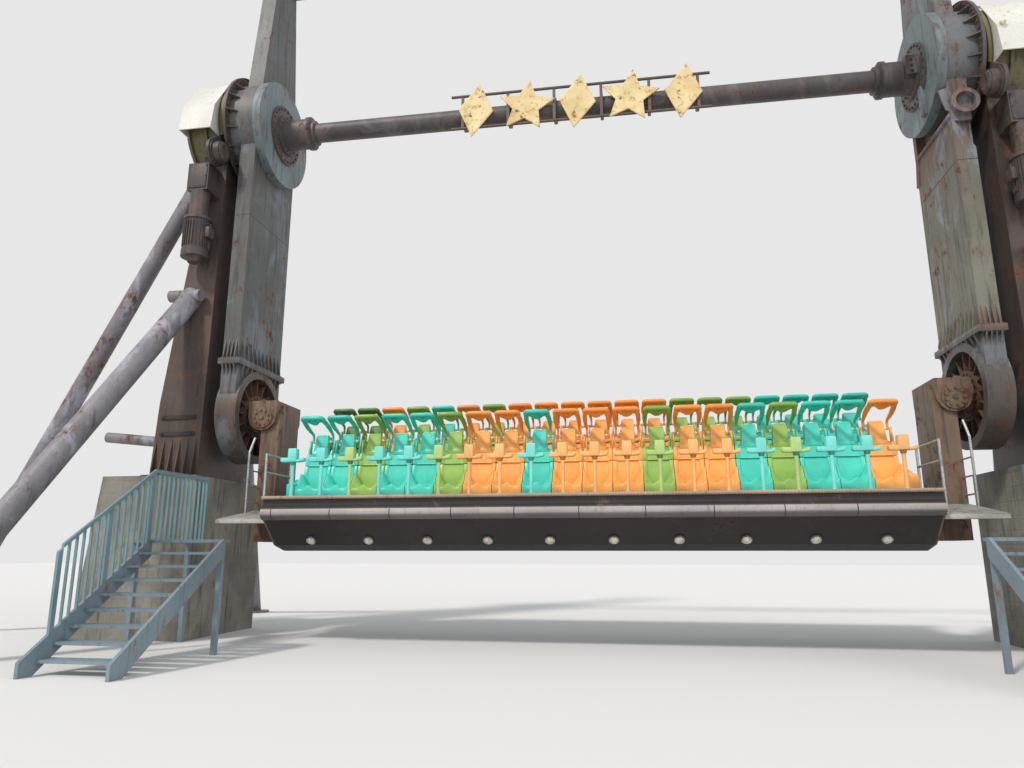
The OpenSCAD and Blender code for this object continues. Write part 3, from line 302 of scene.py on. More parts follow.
# %% Old paint
def old_paint(name, paint, grime, rust, runs, patches, faded, rough=0.62, clouds=None, zones=()):
    """Paint with fading, runs, rust and dust. Clouds are pale patches: on most pieces an older, paler coat,
    and on the arms and the arm ends a painted sheen. Each zone is a colour with the axis and the two places
    between which it takes over."""
    finish = Finish(name)
    # Fading, over metres.
    broad = finish.noise(0.55, 4, 0.55, warp=0.6)
    fading = finish.ramp(broad, 0.3, 0.7)
    colour = finish.mix(fading, shaded(paint, 0.8), shaded(paint, faded))
    for zone_colour, axis, start, end in zones:
        way = finish.sum(finish.height(axis), 0, "ABSOLUTE") if axis == "X" else finish.height(axis)
        tone = finish.mix(fading, shaded(zone_colour, 0.85), shaded(zone_colour, faded))
        colour = finish.mix(finish.ramp(way, start, end), colour, tone)
    # Pale clouds: an older coat on most pieces, and a painted sheen on the arms and the arm ends.
    if clouds:
        drift = finish.noise(0.85, 8, 0.66, finish.stretched((1.3, 1.3, 0.8)), warp=0.9)
        colour = finish.mix(finish.ramp(drift, 0.5, 0.62, 0, 0.75), colour, clouds)
    # Runs, which are noise drawn out along Z.
    veil = finish.noise(2.1, 7, 0.62, finish.stretched((5, 5, 0.42)))
    run_mask = finish.ramp(veil, 0.62 - 0.16 * runs, 0.78 - 0.1 * runs, 0, 0.35 + 0.5 * runs)
    colour = finish.mix(run_mask, colour, grime)
    # Rust, where broad blots and near ones meet, with a stain round each patch.
    blots = finish.noise(1.5, 11, 0.68, warp=0.3)
    near = finish.noise(7.5, 8, 0.7, finish.stretched((1.6, 1.6, 0.7)))
    decay = finish.sum(finish.sum(blots, 0.62, "MULTIPLY"), finish.sum(near, 0.38, "MULTIPLY"))
    rust_mask = finish.ramp(decay, 0.625 - 0.11 * patches, 0.665 - 0.11 * patches)
    stain = finish.ramp(decay, 0.555 - 0.11 * patches, 0.655 - 0.11 * patches, 0, 0.55)
    colour = finish.mix(stain, colour, shaded(rust, 1.35))
    # Grain, which mottles the rust, carries the dust and roughens the surface.
    speck = finish.noise(38, 6, 0.75)
    rust_tone = finish.mix(finish.ramp(speck, 0.35, 0.65), shaded(rust, 0.55), shaded(rust, 1.3))
    colour = finish.mix(rust_mask, colour, rust_tone)
    dust = finish.ramp(speck, 0.42, 0.62, 0, 0.16)
    colour = finish.mix(dust, colour, shaded(grime, 0.8))
    finish.colour(colour)
    finish.roughness(finish.ramp(finish.sum(rust_mask, speck), 0.3, 1.5, rough - 0.12, rough + 0.26))
    relief = finish.sum(finish.sum(rust_mask, 0.6, "MULTIPLY"), finish.sum(speck, 0.5, "MULTIPLY"))
    finish.bump(relief, 0.004)
    return finish.material


def dress(material, nodes):
    """Gives CAD nodes their finish in place of the plain one that they came with."""
    for node in nodes:
        piece = frame["nodes"][node]
        piece.data.materials.clear()
        piece.data.materials.append(material)


def both(name):
    return [f"{side}_{name}" for side in SIDES]


print("old paint ready")

# %% [markdown]
# Now each steel piece gets its own paint. The towers are a dark brown primer, the heads show an olive band,
# the arms are a faded grey cream, the discs on the hubs a pale blue green and the ring flanges bare brown
# steel. A call for each would repeat itself, so the paints stand in a table and are mixed in one loop. Each
# is its own colour, its grime and its rust, then the strength of its runs, rust patches and fading, and for
# bare rust its roughness.

# %% Colours of the steel paints
PAINTS = {
    "tower_paint": (srgb(74, 62, 57), srgb(36, 32, 31), srgb(100, 66, 52), 0.7, 0.4, 1.3),
    "head_paint": (srgb(112, 106, 72), srgb(54, 50, 40), srgb(104, 78, 52), 0.7, 0.35, 1.2),
    "cover_paint": (srgb(222, 219, 211), srgb(132, 126, 112), srgb(150, 132, 98), 0.3, 0.08, 1.08),
    "motor_paint": (srgb(70, 63, 61), srgb(34, 30, 29), srgb(104, 76, 66), 0.8, 0.5, 1.4),
    "strut_paint": (srgb(122, 119, 124), srgb(58, 51, 53), srgb(98, 76, 68), 0.6, 0.62, 1.2),
    # The left arm's paint is the right arm's made darker and greyer: painted shade.
    "left_arm_shaded_paint": (srgb(88, 90, 90), srgb(46, 43, 43), srgb(86, 64, 53), 0.9, 0.45, 1.22),
    "right_arm_paint": (srgb(112, 109, 97), srgb(58, 49, 44), srgb(90, 62, 48), 0.95, 0.58, 1.22),
    "arm_end_paint": (srgb(82, 75, 71), srgb(44, 39, 38), srgb(96, 64, 50), 0.7, 0.5, 1.25),
    "bare_rust": (srgb(84, 62, 54), srgb(40, 32, 30), srgb(100, 68, 54), 0.7, 0.7, 1.25, 0.78),
    "disc_paint": (srgb(82, 70, 64), srgb(52, 48, 48), srgb(92, 70, 60), 0.75, 0.42, 1.16),
    "ring_steel": (srgb(76, 68, 66), srgb(38, 33, 33), srgb(104, 74, 62), 0.7, 0.45, 1.35),
    "weight_paint": (srgb(112, 106, 100), srgb(60, 54, 51), srgb(108, 76, 58), 0.7, 0.45, 1.2),
    "shaft_paint": (srgb(76, 70, 69), srgb(40, 36, 36), srgb(92, 68, 60), 0.5, 0.45, 1.3),
    "frame_steel": (srgb(84, 76, 70), srgb(44, 39, 36), srgb(116, 82, 60), 0.4, 0.5, 1.2),
    "beam_paint": (srgb(112, 92, 76), srgb(58, 46, 41), srgb(94, 62, 48), 1.0, 0.7, 1.3),
    "fascia_paint": (srgb(102, 94, 94), srgb(62, 57, 57), srgb(112, 94, 86), 0.35, 0.2, 1.15),
    "belly_paint": (srgb(31, 27, 25), srgb(18, 16, 15), srgb(50, 41, 35), 0.5, 0.2, 1.15),
    "stair_paint": (srgb(122, 138, 148), srgb(66, 74, 80), srgb(118, 96, 78), 0.5, 0.2, 1.15),
    "rail_paint": (srgb(118, 146, 152), srgb(66, 84, 86), srgb(112, 96, 80), 0.5, 0.16, 1.2),
    "nosing_paint": (srgb(172, 152, 134), srgb(104, 86, 74), srgb(118, 88, 70), 0.3, 0.3, 1.1),
    "seam_black": (srgb(44, 39, 37), srgb(24, 22, 21), srgb(66, 50, 42), 0.4, 0.2, 1.2)}
print(len(PAINTS), "steel paints")

# %% [markdown]
# Some pieces carry more than one colour. Clouds are pale patches: on most pieces the patches of an older,
# paler coat, and on the arms and the arm ends a painted sheen. A zone is a colour that takes over between two
# places along an axis: the front plate and two bands of the right arm, the pale face and the duller back of
# the hub's disc, and on the fascia's moulding a painted highlight along its upper half and the dark band
# above it. The pieces could be cut and painted apart, but a ramp on a coordinate keeps the CAD mesh whole.

# %% Clouds and zones of paint
BOSS_FACE, DISC_BACK = BOSS_X + 0.04, ARM_IN + 0.01
MOULDING_TOP = FRONT_FLOOR - 0.22
# Clouds: an older, paler coat on most paints, and a painted sheen on the arms and the arm ends.
CLOUDS = {"strut_paint": srgb(172, 169, 184), "left_arm_shaded_paint": srgb(114, 120, 129),
          "right_arm_paint": srgb(134, 138, 148), "arm_end_paint": srgb(112, 116, 122),
          "disc_paint": srgb(106, 112, 116), "shaft_paint": srgb(108, 102, 100)}
ZONES = {"right_arm_paint": ((srgb(96, 74, 58), "Z", 8.3, 9.3), (srgb(108, 110, 112), "Z", 9.9, 11.2),
                             (srgb(112, 86, 77), "Y", -0.91, -0.93)),
         "disc_paint": ((srgb(116, 130, 134), "X", BOSS_FACE, BOSS_FACE + 0.004),
                        (srgb(98, 94, 95), "X", DISC_BACK - 0.01, DISC_BACK)),
         # The moulding's first zone is a painted highlight on its upper half, which leaves the lower half
         # darker.
         "fascia_paint": ((srgb(166, 158, 155), "Z", MOULDING_TOP - 0.13, MOULDING_TOP - 0.08),
                          (srgb(46, 43, 43), "Z", MOULDING_TOP - 0.02, MOULDING_TOP))}
print(len(CLOUDS), "paints with clouds,", len(ZONES), "with zones")

# %% [markdown]
# With the colours in place, each paint is mixed once and given to the nodes that wear it. Two nodes that
# share a paint share its material, so a later change of colour is made in one place.

# %% Steel finishes
PAINTED = {"tower_paint": both("tower_column"), "head_paint": both("tower_head"),
           "cover_paint": both("head_cover"), "motor_paint": both("drive_motor"),
           "strut_paint": both("struts"), "left_arm_shaded_paint": ["left_upper_arm", "left_lower_arm"],
           "right_arm_paint": ["right_upper_arm", "right_lower_arm"], "arm_end_paint": both("arm_end"),
           "bare_rust": both("pivot_bearing"), "disc_paint": both("hub"), "ring_steel": both("slewing_ring"),
           "weight_paint": both("counterweight"), "shaft_paint": ["cross_shaft"],
           "frame_steel": ["sign_frame"], "beam_paint": both("side_frame"),
           "fascia_paint": ["gondola_fascia"], "belly_paint": ["gondola_belly"],
           "stair_paint": both("stairs"), "rail_paint": both("stair_rail")}

coats = {}
for name, look in PAINTS.items():
    coats[name] = old_paint(name, *look, clouds=CLOUDS.get(name), zones=ZONES.get(name, ()))
for name, nodes in PAINTED.items():
    dress(coats[name], nodes)
print(len(coats), "steel finishes mixed")

# %% [markdown]
# Some finishes are not old steel paint. The plinths are cast concrete with damp stains and the marks of their
# boards, and the end rails are galvanised. Each is again noise at the size of the real marks, with a wave for
# the boards and small cells for the flakes of zinc.

# %% Concrete and galvanising
def cast_concrete():
    finish = Finish("cast_concrete", 0.9)
    broad = finish.noise(0.8, 6, 0.6, warp=0.4)
    colour = finish.mix(finish.ramp(broad, 0.3, 0.7), srgb(112, 110, 102), srgb(152, 148, 136))
    damp = finish.noise(2.4, 7, 0.62, finish.stretched((4, 4, 0.35)))
    colour = finish.mix(finish.ramp(damp, 0.5, 0.72, 0, 0.8), colour, srgb(66, 68, 60))
    moss = finish.noise(1.9, 9, 0.66)
    colour = finish.mix(finish.ramp(moss, 0.58, 0.68, 0, 0.6), colour, srgb(92, 100, 62))
    grit = finish.noise(60, 5, 0.7)
    colour = finish.mix(finish.ramp(grit, 0.45, 0.6, 0, 0.25), colour, srgb(84, 80, 74))
    finish.colour(colour)
    boards = finish.tree.nodes.new("ShaderNodeTexWave")
    boards.bands_direction = "Z"
    boards.inputs["Scale"].default_value = 1.3
    boards.inputs["Distortion"].default_value = 0.3
    finish.tree.links.new(finish.place, boards.inputs["Vector"])
    line = finish.ramp(boards.outputs["Fac"], 0.0, 0.06, -0.6, 0)
    finish.bump(finish.sum(finish.sum(grit, 0.4, "MULTIPLY"), line), 0.006)
    return finish.material


def galvanised_steel():
    finish = Finish("galvanised_steel", 0.42, 0.85)
    flakes = finish.cells(70)
    colour = finish.mix(finish.ramp(flakes, 0.1, 0.8), srgb(150, 154, 158), srgb(198, 200, 202))
    dull = finish.noise(9, 8, 0.7, finish.stretched((1, 1, 0.4)))
    colour = finish.mix(finish.ramp(dull, 0.5, 0.66, 0, 0.6), colour, srgb(120, 112, 104))
    finish.colour(colour)
    finish.roughness(finish.ramp(dull, 0.35, 0.65, 0.34, 0.62))
    finish.bump(finish.noise(120, 3, 0.6), 0.0006)
    return finish.material


print("concrete and galvanising ready")

# %% [markdown]
# The sign is cream enamel that rusts in scabs, the deck and the end steps are chequer plate, and the lamps
# have dusty glass. The studs of a chequer plate could be modelled, but there are thousands of them, so they
# are bump: two sets of stretched cells, laid crosswise.

# %% Enamel, chequer plate and lamp glass
def enamel():
    finish = Finish("cream_enamel", 0.55)
    broad = finish.noise(1.6, 5, 0.6, warp=0.5)
    colour = finish.mix(finish.ramp(broad, 0.3, 0.7), srgb(206, 178, 122), srgb(232, 210, 158))
    scabs = finish.noise(7, 11, 0.72, warp=0.2)
    colour = finish.mix(finish.ramp(scabs, 0.52, 0.6, 0, 0.7), colour, srgb(176, 132, 80))
    holes = finish.ramp(scabs, 0.6, 0.63)
    colour = finish.mix(holes, colour, srgb(112, 70, 44))
    finish.colour(colour)
    finish.roughness(finish.ramp(holes, 0, 1, 0.45, 0.85))
    finish.bump(finish.sum(holes, finish.noise(40, 5, 0.7), "SUBTRACT"), 0.002)
    return finish.material


def chequer_plate(name, dark, light, stain):
    finish = Finish(name, 0.6, 0.25)
    broad = finish.noise(1.1, 7, 0.65)
    colour = finish.mix(finish.ramp(broad, 0.32, 0.68), dark, light)
    worn = finish.noise(4, 9, 0.7)
    colour = finish.mix(finish.ramp(worn, 0.52, 0.64, 0, 0.75), colour, stain)
    finish.colour(colour)
    first = finish.cells(9, finish.stretched((2.2, 5.5, 1), (0, 0, 45)))
    second = finish.cells(9, finish.stretched((5.5, 2.2, 1), (0, 0, 45)))
    studs = finish.sum(finish.ramp(first, 0.18, 0.3, 1, 0), finish.ramp(second, 0.18, 0.3, 1, 0), "MAXIMUM")
    finish.bump(studs, 0.003, 0.5)
    return finish.material


def frosted_glass():
    finish = Finish("frosted_glass", 0.28)
    dusty = finish.noise(14, 6, 0.7)
    colour = finish.mix(finish.ramp(dusty, 0.4, 0.65), srgb(232, 224, 196), srgb(168, 152, 120))
    finish.colour(colour)
    finish.roughness(finish.ramp(dusty, 0.35, 0.65, 0.12, 0.5))
    finish.shader.inputs["Coat Weight"].default_value = 0.5
    return finish.material


print("enamel, chequer plate and glass ready")

# %% [markdown]
# These finishes go on their nodes too. The deck and the end steps share one recipe with other colours.

# %% Other finishes
concrete = cast_concrete()
galvanised = galvanised_steel()
sign_enamel = enamel()
deck_plate = chequer_plate("deck_plate", srgb(118, 104, 92), srgb(158, 140, 122), srgb(112, 78, 58))
step_plate = chequer_plate("step_plate", srgb(140, 138, 134), srgb(184, 182, 176), srgb(112, 96, 84))
lamp_glass = frosted_glass()
dress(concrete, both("plinth"))
dress(galvanised, both("end_rails"))
dress(deck_plate, ["gondola_deck"])
print("other finishes on the frame")

# %% [markdown]
# The seats, restraints and grab posts are rotationally moulded plastic in three colours: teal, leaf green and
# orange. Years of sun have bleached the tops, and dirt has settled low down and in the corners. The plastic
# shines softly, with a faint orange peel, so its bump is much finer than that of the steel.

# %% Plastic finishes
# Each letter of the rows below stands for a name and the colours of its seats, restraints and grab posts.
SEAT_COLOURS = {"t": ("teal", srgb(72, 208, 188), srgb(48, 190, 170), srgb(118, 216, 206)),
                "g": ("leaf", srgb(150, 188, 90), srgb(124, 160, 68), srgb(176, 202, 126)),
                "o": ("orange", srgb(246, 170, 86), srgb(236, 144, 60), srgb(237, 178, 112)),
                "d": ("deep_leaf", srgb(90, 134, 64), srgb(74, 112, 48), srgb(114, 150, 86))}


def plastic(name, colour, rough=0.38):
    finish = Finish(name, rough)
    bleach = finish.noise(1.7, 5, 0.6)
    tone = finish.mix(finish.ramp(bleach, 0.32, 0.7), shaded(colour, 0.9), shaded(colour, 1.1))
    film = finish.noise(5.5, 8, 0.68, finish.stretched((2, 2, 0.7)))
    tone = finish.mix(finish.ramp(film, 0.52, 0.74, 0, 0.3), tone, shaded(colour, 0.55))
    scuff = finish.noise(22, 9, 0.75, finish.stretched((1, 1, 2.5)))
    tone = finish.mix(finish.ramp(scuff, 0.6, 0.68, 0, 0.4), tone, srgb(228, 222, 206))
    finish.colour(tone)
    finish.roughness(finish.ramp(film, 0.35, 0.7, rough - 0.06, rough + 0.22))
    finish.bump(finish.noise(160, 3, 0.6), 0.0007, 0.5)
    finish.shader.inputs["Coat Weight"].default_value = 0.15
    finish.shader.inputs["Coat Roughness"].default_value = 0.25
    return finish.material


# Darker copies of the restraint colours, for the toe recesses and the post collars: painted shade.
PAINTED_SHADE = 0.55
seat_plastic, restraint_plastic, post_plastic, painted_shade_plastic = {}, {}, {}, {}
for letter, (name, seat_colour, frame_colour, post_colour) in SEAT_COLOURS.items():
    seat_plastic[letter] = plastic(f"{name}_seat_plastic", seat_colour)
    restraint_plastic[letter] = plastic(f"{name}_restraint_plastic", frame_colour)
    post_plastic[letter] = plastic(f"{name}_post_plastic", post_colour, 0.5)
    painted_shade_plastic[letter] = plastic(f"{name}_painted_shade_plastic", shaded(frame_colour, PAINTED_SHADE), 0.55)
bush_plastic = plastic("cream_plastic", srgb(236, 226, 196), 0.45)
FRONT_COLOURS = "ttgttgootooogootgtto"
BACK_COLOURS = "ddogtogoooooogggtttt"
print("seat colours", len(FRONT_COLOURS), len(BACK_COLOURS))

# %% [markdown]
# The modelling below starts each piece from a primitive at its size and place and shapes it in edit mode.
# A few helpers keep that short. Every helper deselects first, because Blender's operators act on whatever is
# selected, and every finished piece has its place in its mesh and its object at the origin.

# %% Primitives at their size and place
def alone(piece):
    if bpy.context.object and bpy.context.object.mode != "OBJECT":
        bpy.ops.object.mode_set(mode="OBJECT")
    bpy.ops.object.select_all(action="DESELECT")
    piece.select_set(True)
    bpy.context.view_layer.objects.active = piece


def placed(name):
    """The new primitive, named, with its place, turn and size moved into its mesh."""
    piece = bpy.context.object
    piece.name = piece.data.name = name
    alone(piece)
    bpy.ops.object.transform_apply(location=True, rotation=True, scale=True)
    return piece


def block(name, low, high):
    low, high = Vector(low), Vector(high)
    bpy.ops.object.select_all(action="DESELECT")
    bpy.ops.mesh.primitive_cube_add(size=1, location=(low + high) / 2)
    bpy.context.object.scale = high - low
    return placed(name)


def rod(name, start, end, radius, sides=24, end_radius=None):
    start, end = Vector(start), Vector(end)
    way = end - start
    bpy.ops.object.select_all(action="DESELECT")
    bpy.ops.mesh.primitive_cone_add(vertices=sides, radius1=radius, depth=way.length,
                                    radius2=radius if end_radius is None else end_radius,
                                    location=(start + end) / 2,
                                    rotation=way.to_track_quat("Z", "Y").to_euler())
    return placed(name)


print("primitives ready")

# %% [markdown]
# Edges of moulded plastic and cast or welded steel are never sharp. They could be rounded in the shader, but
# a bevel that is applied shows in the outline and goes with the mesh. Shading by angle then keeps the flat
# parts flat.

# %% Modifiers
SMOOTH_BELOW = math.radians(40)


def modify(piece, kind, **settings):
    alone(piece)
    bpy.ops.object.modifier_add(type=kind)
    modifier = piece.modifiers[-1]
    for key, value in settings.items():
        setattr(modifier, key, value)
    bpy.ops.object.modifier_apply(modifier=modifier.name)


def bevel(piece, width, segments, angle):
    modify(piece, "BEVEL", width=width, segments=segments, limit_method="ANGLE",
           angle_limit=math.radians(angle))


def soften(piece, width, segments=2, angle=30):
    bevel(piece, width, segments, angle)
    bpy.ops.object.shade_smooth_by_angle(angle=SMOOTH_BELOW)


print("modifiers ready")

# %% [markdown]
# In edit mode, faces are chosen by a test of their place or normal, where a mouse would click on them. Then
# an extrusion, an inset or a push shapes what is selected.

# %% Shaping in edit mode
def close(piece):
    bpy.ops.object.mode_set(mode="OBJECT")
    return piece


def edit_whole(piece):
    """Opens the piece in edit mode with all of it selected."""
    alone(piece)
    bpy.ops.object.mode_set(mode="EDIT")
    bpy.ops.mesh.select_mode(type="FACE")
    bpy.ops.mesh.select_all(action="SELECT")


def face_outwards(piece):
    """Turns all faces of an open piece outwards and closes it."""
    bpy.ops.mesh.select_all(action="SELECT")
    bpy.ops.mesh.normals_make_consistent(inside=False)
    return close(piece)


def facing(axis, sign):
    """A test for the faces that look along an axis, or against it."""
    return lambda face: getattr(face.normal, axis) * sign > 0.9


def edit(piece, faces):
    """Opens the piece in edit mode with only the faces for which the test holds selected."""
    alone(piece)
    bpy.ops.object.mode_set(mode="EDIT")
    bpy.ops.mesh.select_mode(type="FACE")
    mesh = bmesh.from_edit_mesh(piece.data)
    mesh.normal_update()
    for face in mesh.faces:
        face.select_set(bool(faces(face)))
    bmesh.update_edit_mesh(piece.data)


def selected_middle(piece):
    mesh = bmesh.from_edit_mesh(piece.data)
    points = [vertex.co for vertex in mesh.verts if vertex.select]
    return sum(points, Vector()) / len(points)


def grow(piece, move, size=(1, 1, 1)):
    """Extrudes the selected faces along a move and resizes the new end about its own middle."""
    bpy.ops.mesh.extrude_region_move(TRANSFORM_OT_translate={"value": move})
    if size != (1, 1, 1):
        bpy.ops.transform.resize(value=size, center_override=selected_middle(piece))


def push(move):
    bpy.ops.transform.translate(value=move)


def inset(piece, faces, rim, move):
    """Insets the faces for which the test holds and pushes their middle along a move."""
    edit(piece, faces)
    bpy.ops.mesh.inset(thickness=rim)
    push(move)
    return close(piece)


print("edit mode helpers ready")

# %% [markdown]
# What repeats is modelled once. A list of matrices says where the copies go, each with its own mesh, and the
# copies are joined. A finished piece then gets its material and the body it rides on.

# %% Copies, mirror images and finished pieces
def joined(name, pieces):
    alone(pieces[0])
    for piece in pieces:
        piece.select_set(True)
    bpy.ops.object.join()
    whole = bpy.context.object
    whole.name = whole.data.name = name
    return whole


def copied(piece, move):
    """One more of a piece, with its own mesh, moved by a matrix."""
    twin = piece.copy()
    twin.data = piece.data.copy()
    twin.data.transform(move)
    bpy.context.scene.collection.objects.link(twin)
    return twin


def repeated(name, piece, moves):
    whole = joined(name, [copied(piece, move) for move in moves])
    bpy.data.objects.remove(piece)
    return whole


def finished(piece, body, material=None):
    if material:
        piece.data.materials.clear()
        piece.data.materials.append(material)
    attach(piece, body)
    return piece


def shift(x=0, y=0, z=0):
    return Matrix.Translation((x, y, z))


def spin_x(angle, about=(0, 0, 0)):
    return shift(*about) @ Matrix.Rotation(angle, 4, "X") @ shift(*(-Vector(about)))


TO_LEFT = Matrix.Scale(-1, 4, (1, 0, 0))


def outward(piece):
    """A mirrored copy is inside out until its normals are made to point outwards again."""
    edit_whole(piece)
    return face_outwards(piece)


print("copying helpers ready")

# %% [markdown]
# A seat back is one moulded shell. It leans back a little, has a hollow between two bolsters, level
# shoulders, and a narrow head that stands on them. A sculpt could give this, but the real shell has clear
# steps, so it is grown upwards from a block, one extrusion for each step, and its middle is cut free with
# two bisections and pushed back. The lower part ends at a level seam where the upper part sits on it.

# %% Model one seat back
SEAM_Z, SEAM_GAP, SHOULDER_Z, HEAD_Z = 0.64, 0.004, 0.89, 1.26
BACK_FOOT_Y, BACK_REAR_Y, BACK_FOOT_TOP = -0.889, -0.69, 0.30
UPPER_FRONT_Y, UPPER_REAR_Y = -0.829, -0.665
HEAD_HALF, HEAD_FRONT_Y, HEAD_REAR_Y = 0.15, -0.768, -0.63
HOLLOW_X, HOLLOW_DEPTH, HOLLOW_NARROWS = 0.205, 0.032, 0.86


def facing_front(face, low, high):
    middle_z = face.calc_center_median().z
    return face.normal.y < -0.6 and low < middle_z < high


def top_of(face, height):
    return face.normal.z > 0.6 and face.calc_center_median().z > height - 0.01


def hollowed(piece, low, high):
    """Cuts the front free between the bolsters and pushes it back."""
    for side in (-1, 1):
        edit_whole(piece)
        bpy.ops.mesh.bisect(plane_co=(side * HOLLOW_X, 0, 0), plane_no=(1, 0, 0))
        close(piece)
    edit(piece, lambda face: facing_front(face, low, high) and abs(face.calc_center_median().x) < HOLLOW_X)
    bpy.ops.mesh.extrude_region_move(TRANSFORM_OT_translate={"value": (0, HOLLOW_DEPTH, 0.001)})
    bpy.ops.transform.resize(value=(HOLLOW_NARROWS, 1, 1), center_override=(0, 0, 0))
    return close(piece)


def lower_back():
    top = SEAM_Z - SEAM_GAP
    rise = 0.18
    piece = block("lower_back", (-SEAT_HALF, BACK_FOOT_Y, 0), (SEAT_HALF, BACK_REAR_Y, BACK_FOOT_TOP))
    edit(piece, lambda face: top_of(face, BACK_FOOT_TOP))
    grow(piece, (0, 0.004, rise), (1, 0.95, 1))
    grow(piece, (0, 0.032, top - BACK_FOOT_TOP - rise), (1, 0.82, 1))
    close(piece)
    hollowed(piece, 0.0, top)
    soften(piece, 0.012, 3)
    return piece


def upper_back():
    low = SEAM_Z + SEAM_GAP
    waist = low + 0.1
    piece = block("upper_back", (-SEAT_HALF, UPPER_FRONT_Y, low), (SEAT_HALF, UPPER_REAR_Y, waist))
    edit(piece, lambda face: top_of(face, waist))
    grow(piece, (0, 0.045, SHOULDER_Z - waist), (0.985, 0.88, 1))
    close(piece)
    hollowed(piece, low, SHOULDER_Z)
    soften(piece, 0.012, 3)
    return piece


def seat_head():
    """The narrow head, which leans back in three steps and has a shallow panel in front."""
    neck, first, second = SHOULDER_Z + 0.01, 0.09, 0.2
    head = block("head", (-HEAD_HALF, HEAD_FRONT_Y, SHOULDER_Z - 0.05), (HEAD_HALF, HEAD_REAR_Y, neck))
    edit(head, lambda face: top_of(face, neck))
    grow(head, (0, 0.01, first), (0.9, 0.95, 1))
    grow(head, (0, 0.032, second), (0.92, 0.86, 1))
    grow(head, (0, 0.012, HEAD_Z - neck - first - second), (0.9, 0.86, 1))
    close(head)
    inset(head, lambda face: facing_front(face, neck, HEAD_Z), 0.026, (0, 0.012, 0))
    soften(head, 0.013, 3)
    return head


one_back = joined("one_back", [lower_back(), upper_back(), seat_head()])
print("seat shell", len(one_back.data.polygons), "faces")

# %% [markdown]
# An ear on each shoulder carries the pin that the restraint turns on. The ears are grown upwards like the
# shell, in two steps that lean back, and the cream bushes on the pin are short rods with rounded rims.

# %% Ears, bushes and pin of one seat
EAR_X, EAR_HALF, EAR_FRONT_Y, EAR_REAR_Y = 0.24, 0.018, -0.735, -0.62
PIN_Y, PIN_Z, PIN_R, BUSH_R = -0.64, 1.13, 0.017, 0.03
BUSH_SPANS = ((0.108, 0.172), (0.219, 0.2625))


def seat_ears():
    ears = []
    for side in (-1, 1):
        low_x, high_x = side * EAR_X - EAR_HALF, side * EAR_X + EAR_HALF
        top = SHOULDER_Z + 0.05
        ear = block("ear", (low_x, EAR_FRONT_Y, SHOULDER_Z - 0.06), (high_x, EAR_REAR_Y, top))
        edit(ear, lambda face: top_of(face, top))
        grow(ear, (0, 0.028, 0.13), (1, 0.62, 1))
        grow(ear, (0, 0.006, 0.09), (0.9, 0.85, 1))
        close(ear)
        soften(ear, 0.012, 3)
        ears.append(ear)
    return ears


def pin_bushes():
    """Cream bushes on the pin, one by the head and one by the ear on each side."""
    bushes = []
    for side in (-1, 1):
        for low, high in BUSH_SPANS:
            bush = rod("bush", (side * low, PIN_Y, PIN_Z), (side * high, PIN_Y, PIN_Z), BUSH_R, 20)
            soften(bush, 0.009, 3)
            bushes.append(bush)
    return joined("one_bushes", bushes)


one_back = joined("one_back", [one_back, *seat_ears()])
one_bushes = pin_bushes()
one_pin = rod("one_pin", (-EAR_X, PIN_Y, PIN_Z), (EAR_X, PIN_Y, PIN_Z), PIN_R, 16)
print("seat back with its ears", len(one_back.data.polygons), "faces")

# %% [markdown]
# The seat base is a shallow bucket with no sharp steps, so it can't be extruded as the back is. Proportional
# editing suits it: points are lifted and drag their neighbours along, as soft plastic would flow.

# %% Lifting points
def pick_points(piece, test):
    """Opens the piece in edit mode with only the points for which the test holds selected."""
    alone(piece)
    bpy.ops.object.mode_set(mode="EDIT")
    bpy.ops.mesh.select_mode(type="VERT")
    bpy.ops.mesh.select_all(action="DESELECT")
    mesh = bmesh.from_edit_mesh(piece.data)
    for vertex in mesh.verts:
        vertex.select_set(bool(test(vertex.co)))
    mesh.select_flush_mode()
    bmesh.update_edit_mesh(piece.data)


def lift(piece, test, move, reach):
    """Moves the points for which the test holds, dragging neighbours along up to the reach."""
    pick_points(piece, test)
    bpy.ops.transform.translate(value=move, use_proportional_edit=reach > 0,
                                proportional_size=max(reach, 0.01), proportional_edit_falloff="SMOOTH")
    close(piece)


print("lifting points ready")

# %% [markdown]
# The front lip rises in a hump in the middle and curls up at both corners, and the cheeks climb to the back.
# The base starts as a flat grid whose points are lifted in four places. Its rim is then drawn down to the
# deck, straight below a band, and the bottom is closed.

# %% Model one seat base
BASE_FRONT, BASE_BACK, LIP_BACK = -1.25, -0.891, 0.012
PAN_Z, BAND_Z, FOOT_Z = 0.19, 0.125, 0.003
TOE_Z, TOE_R, TOE_FLAT = 0.045, 0.07, 0.6


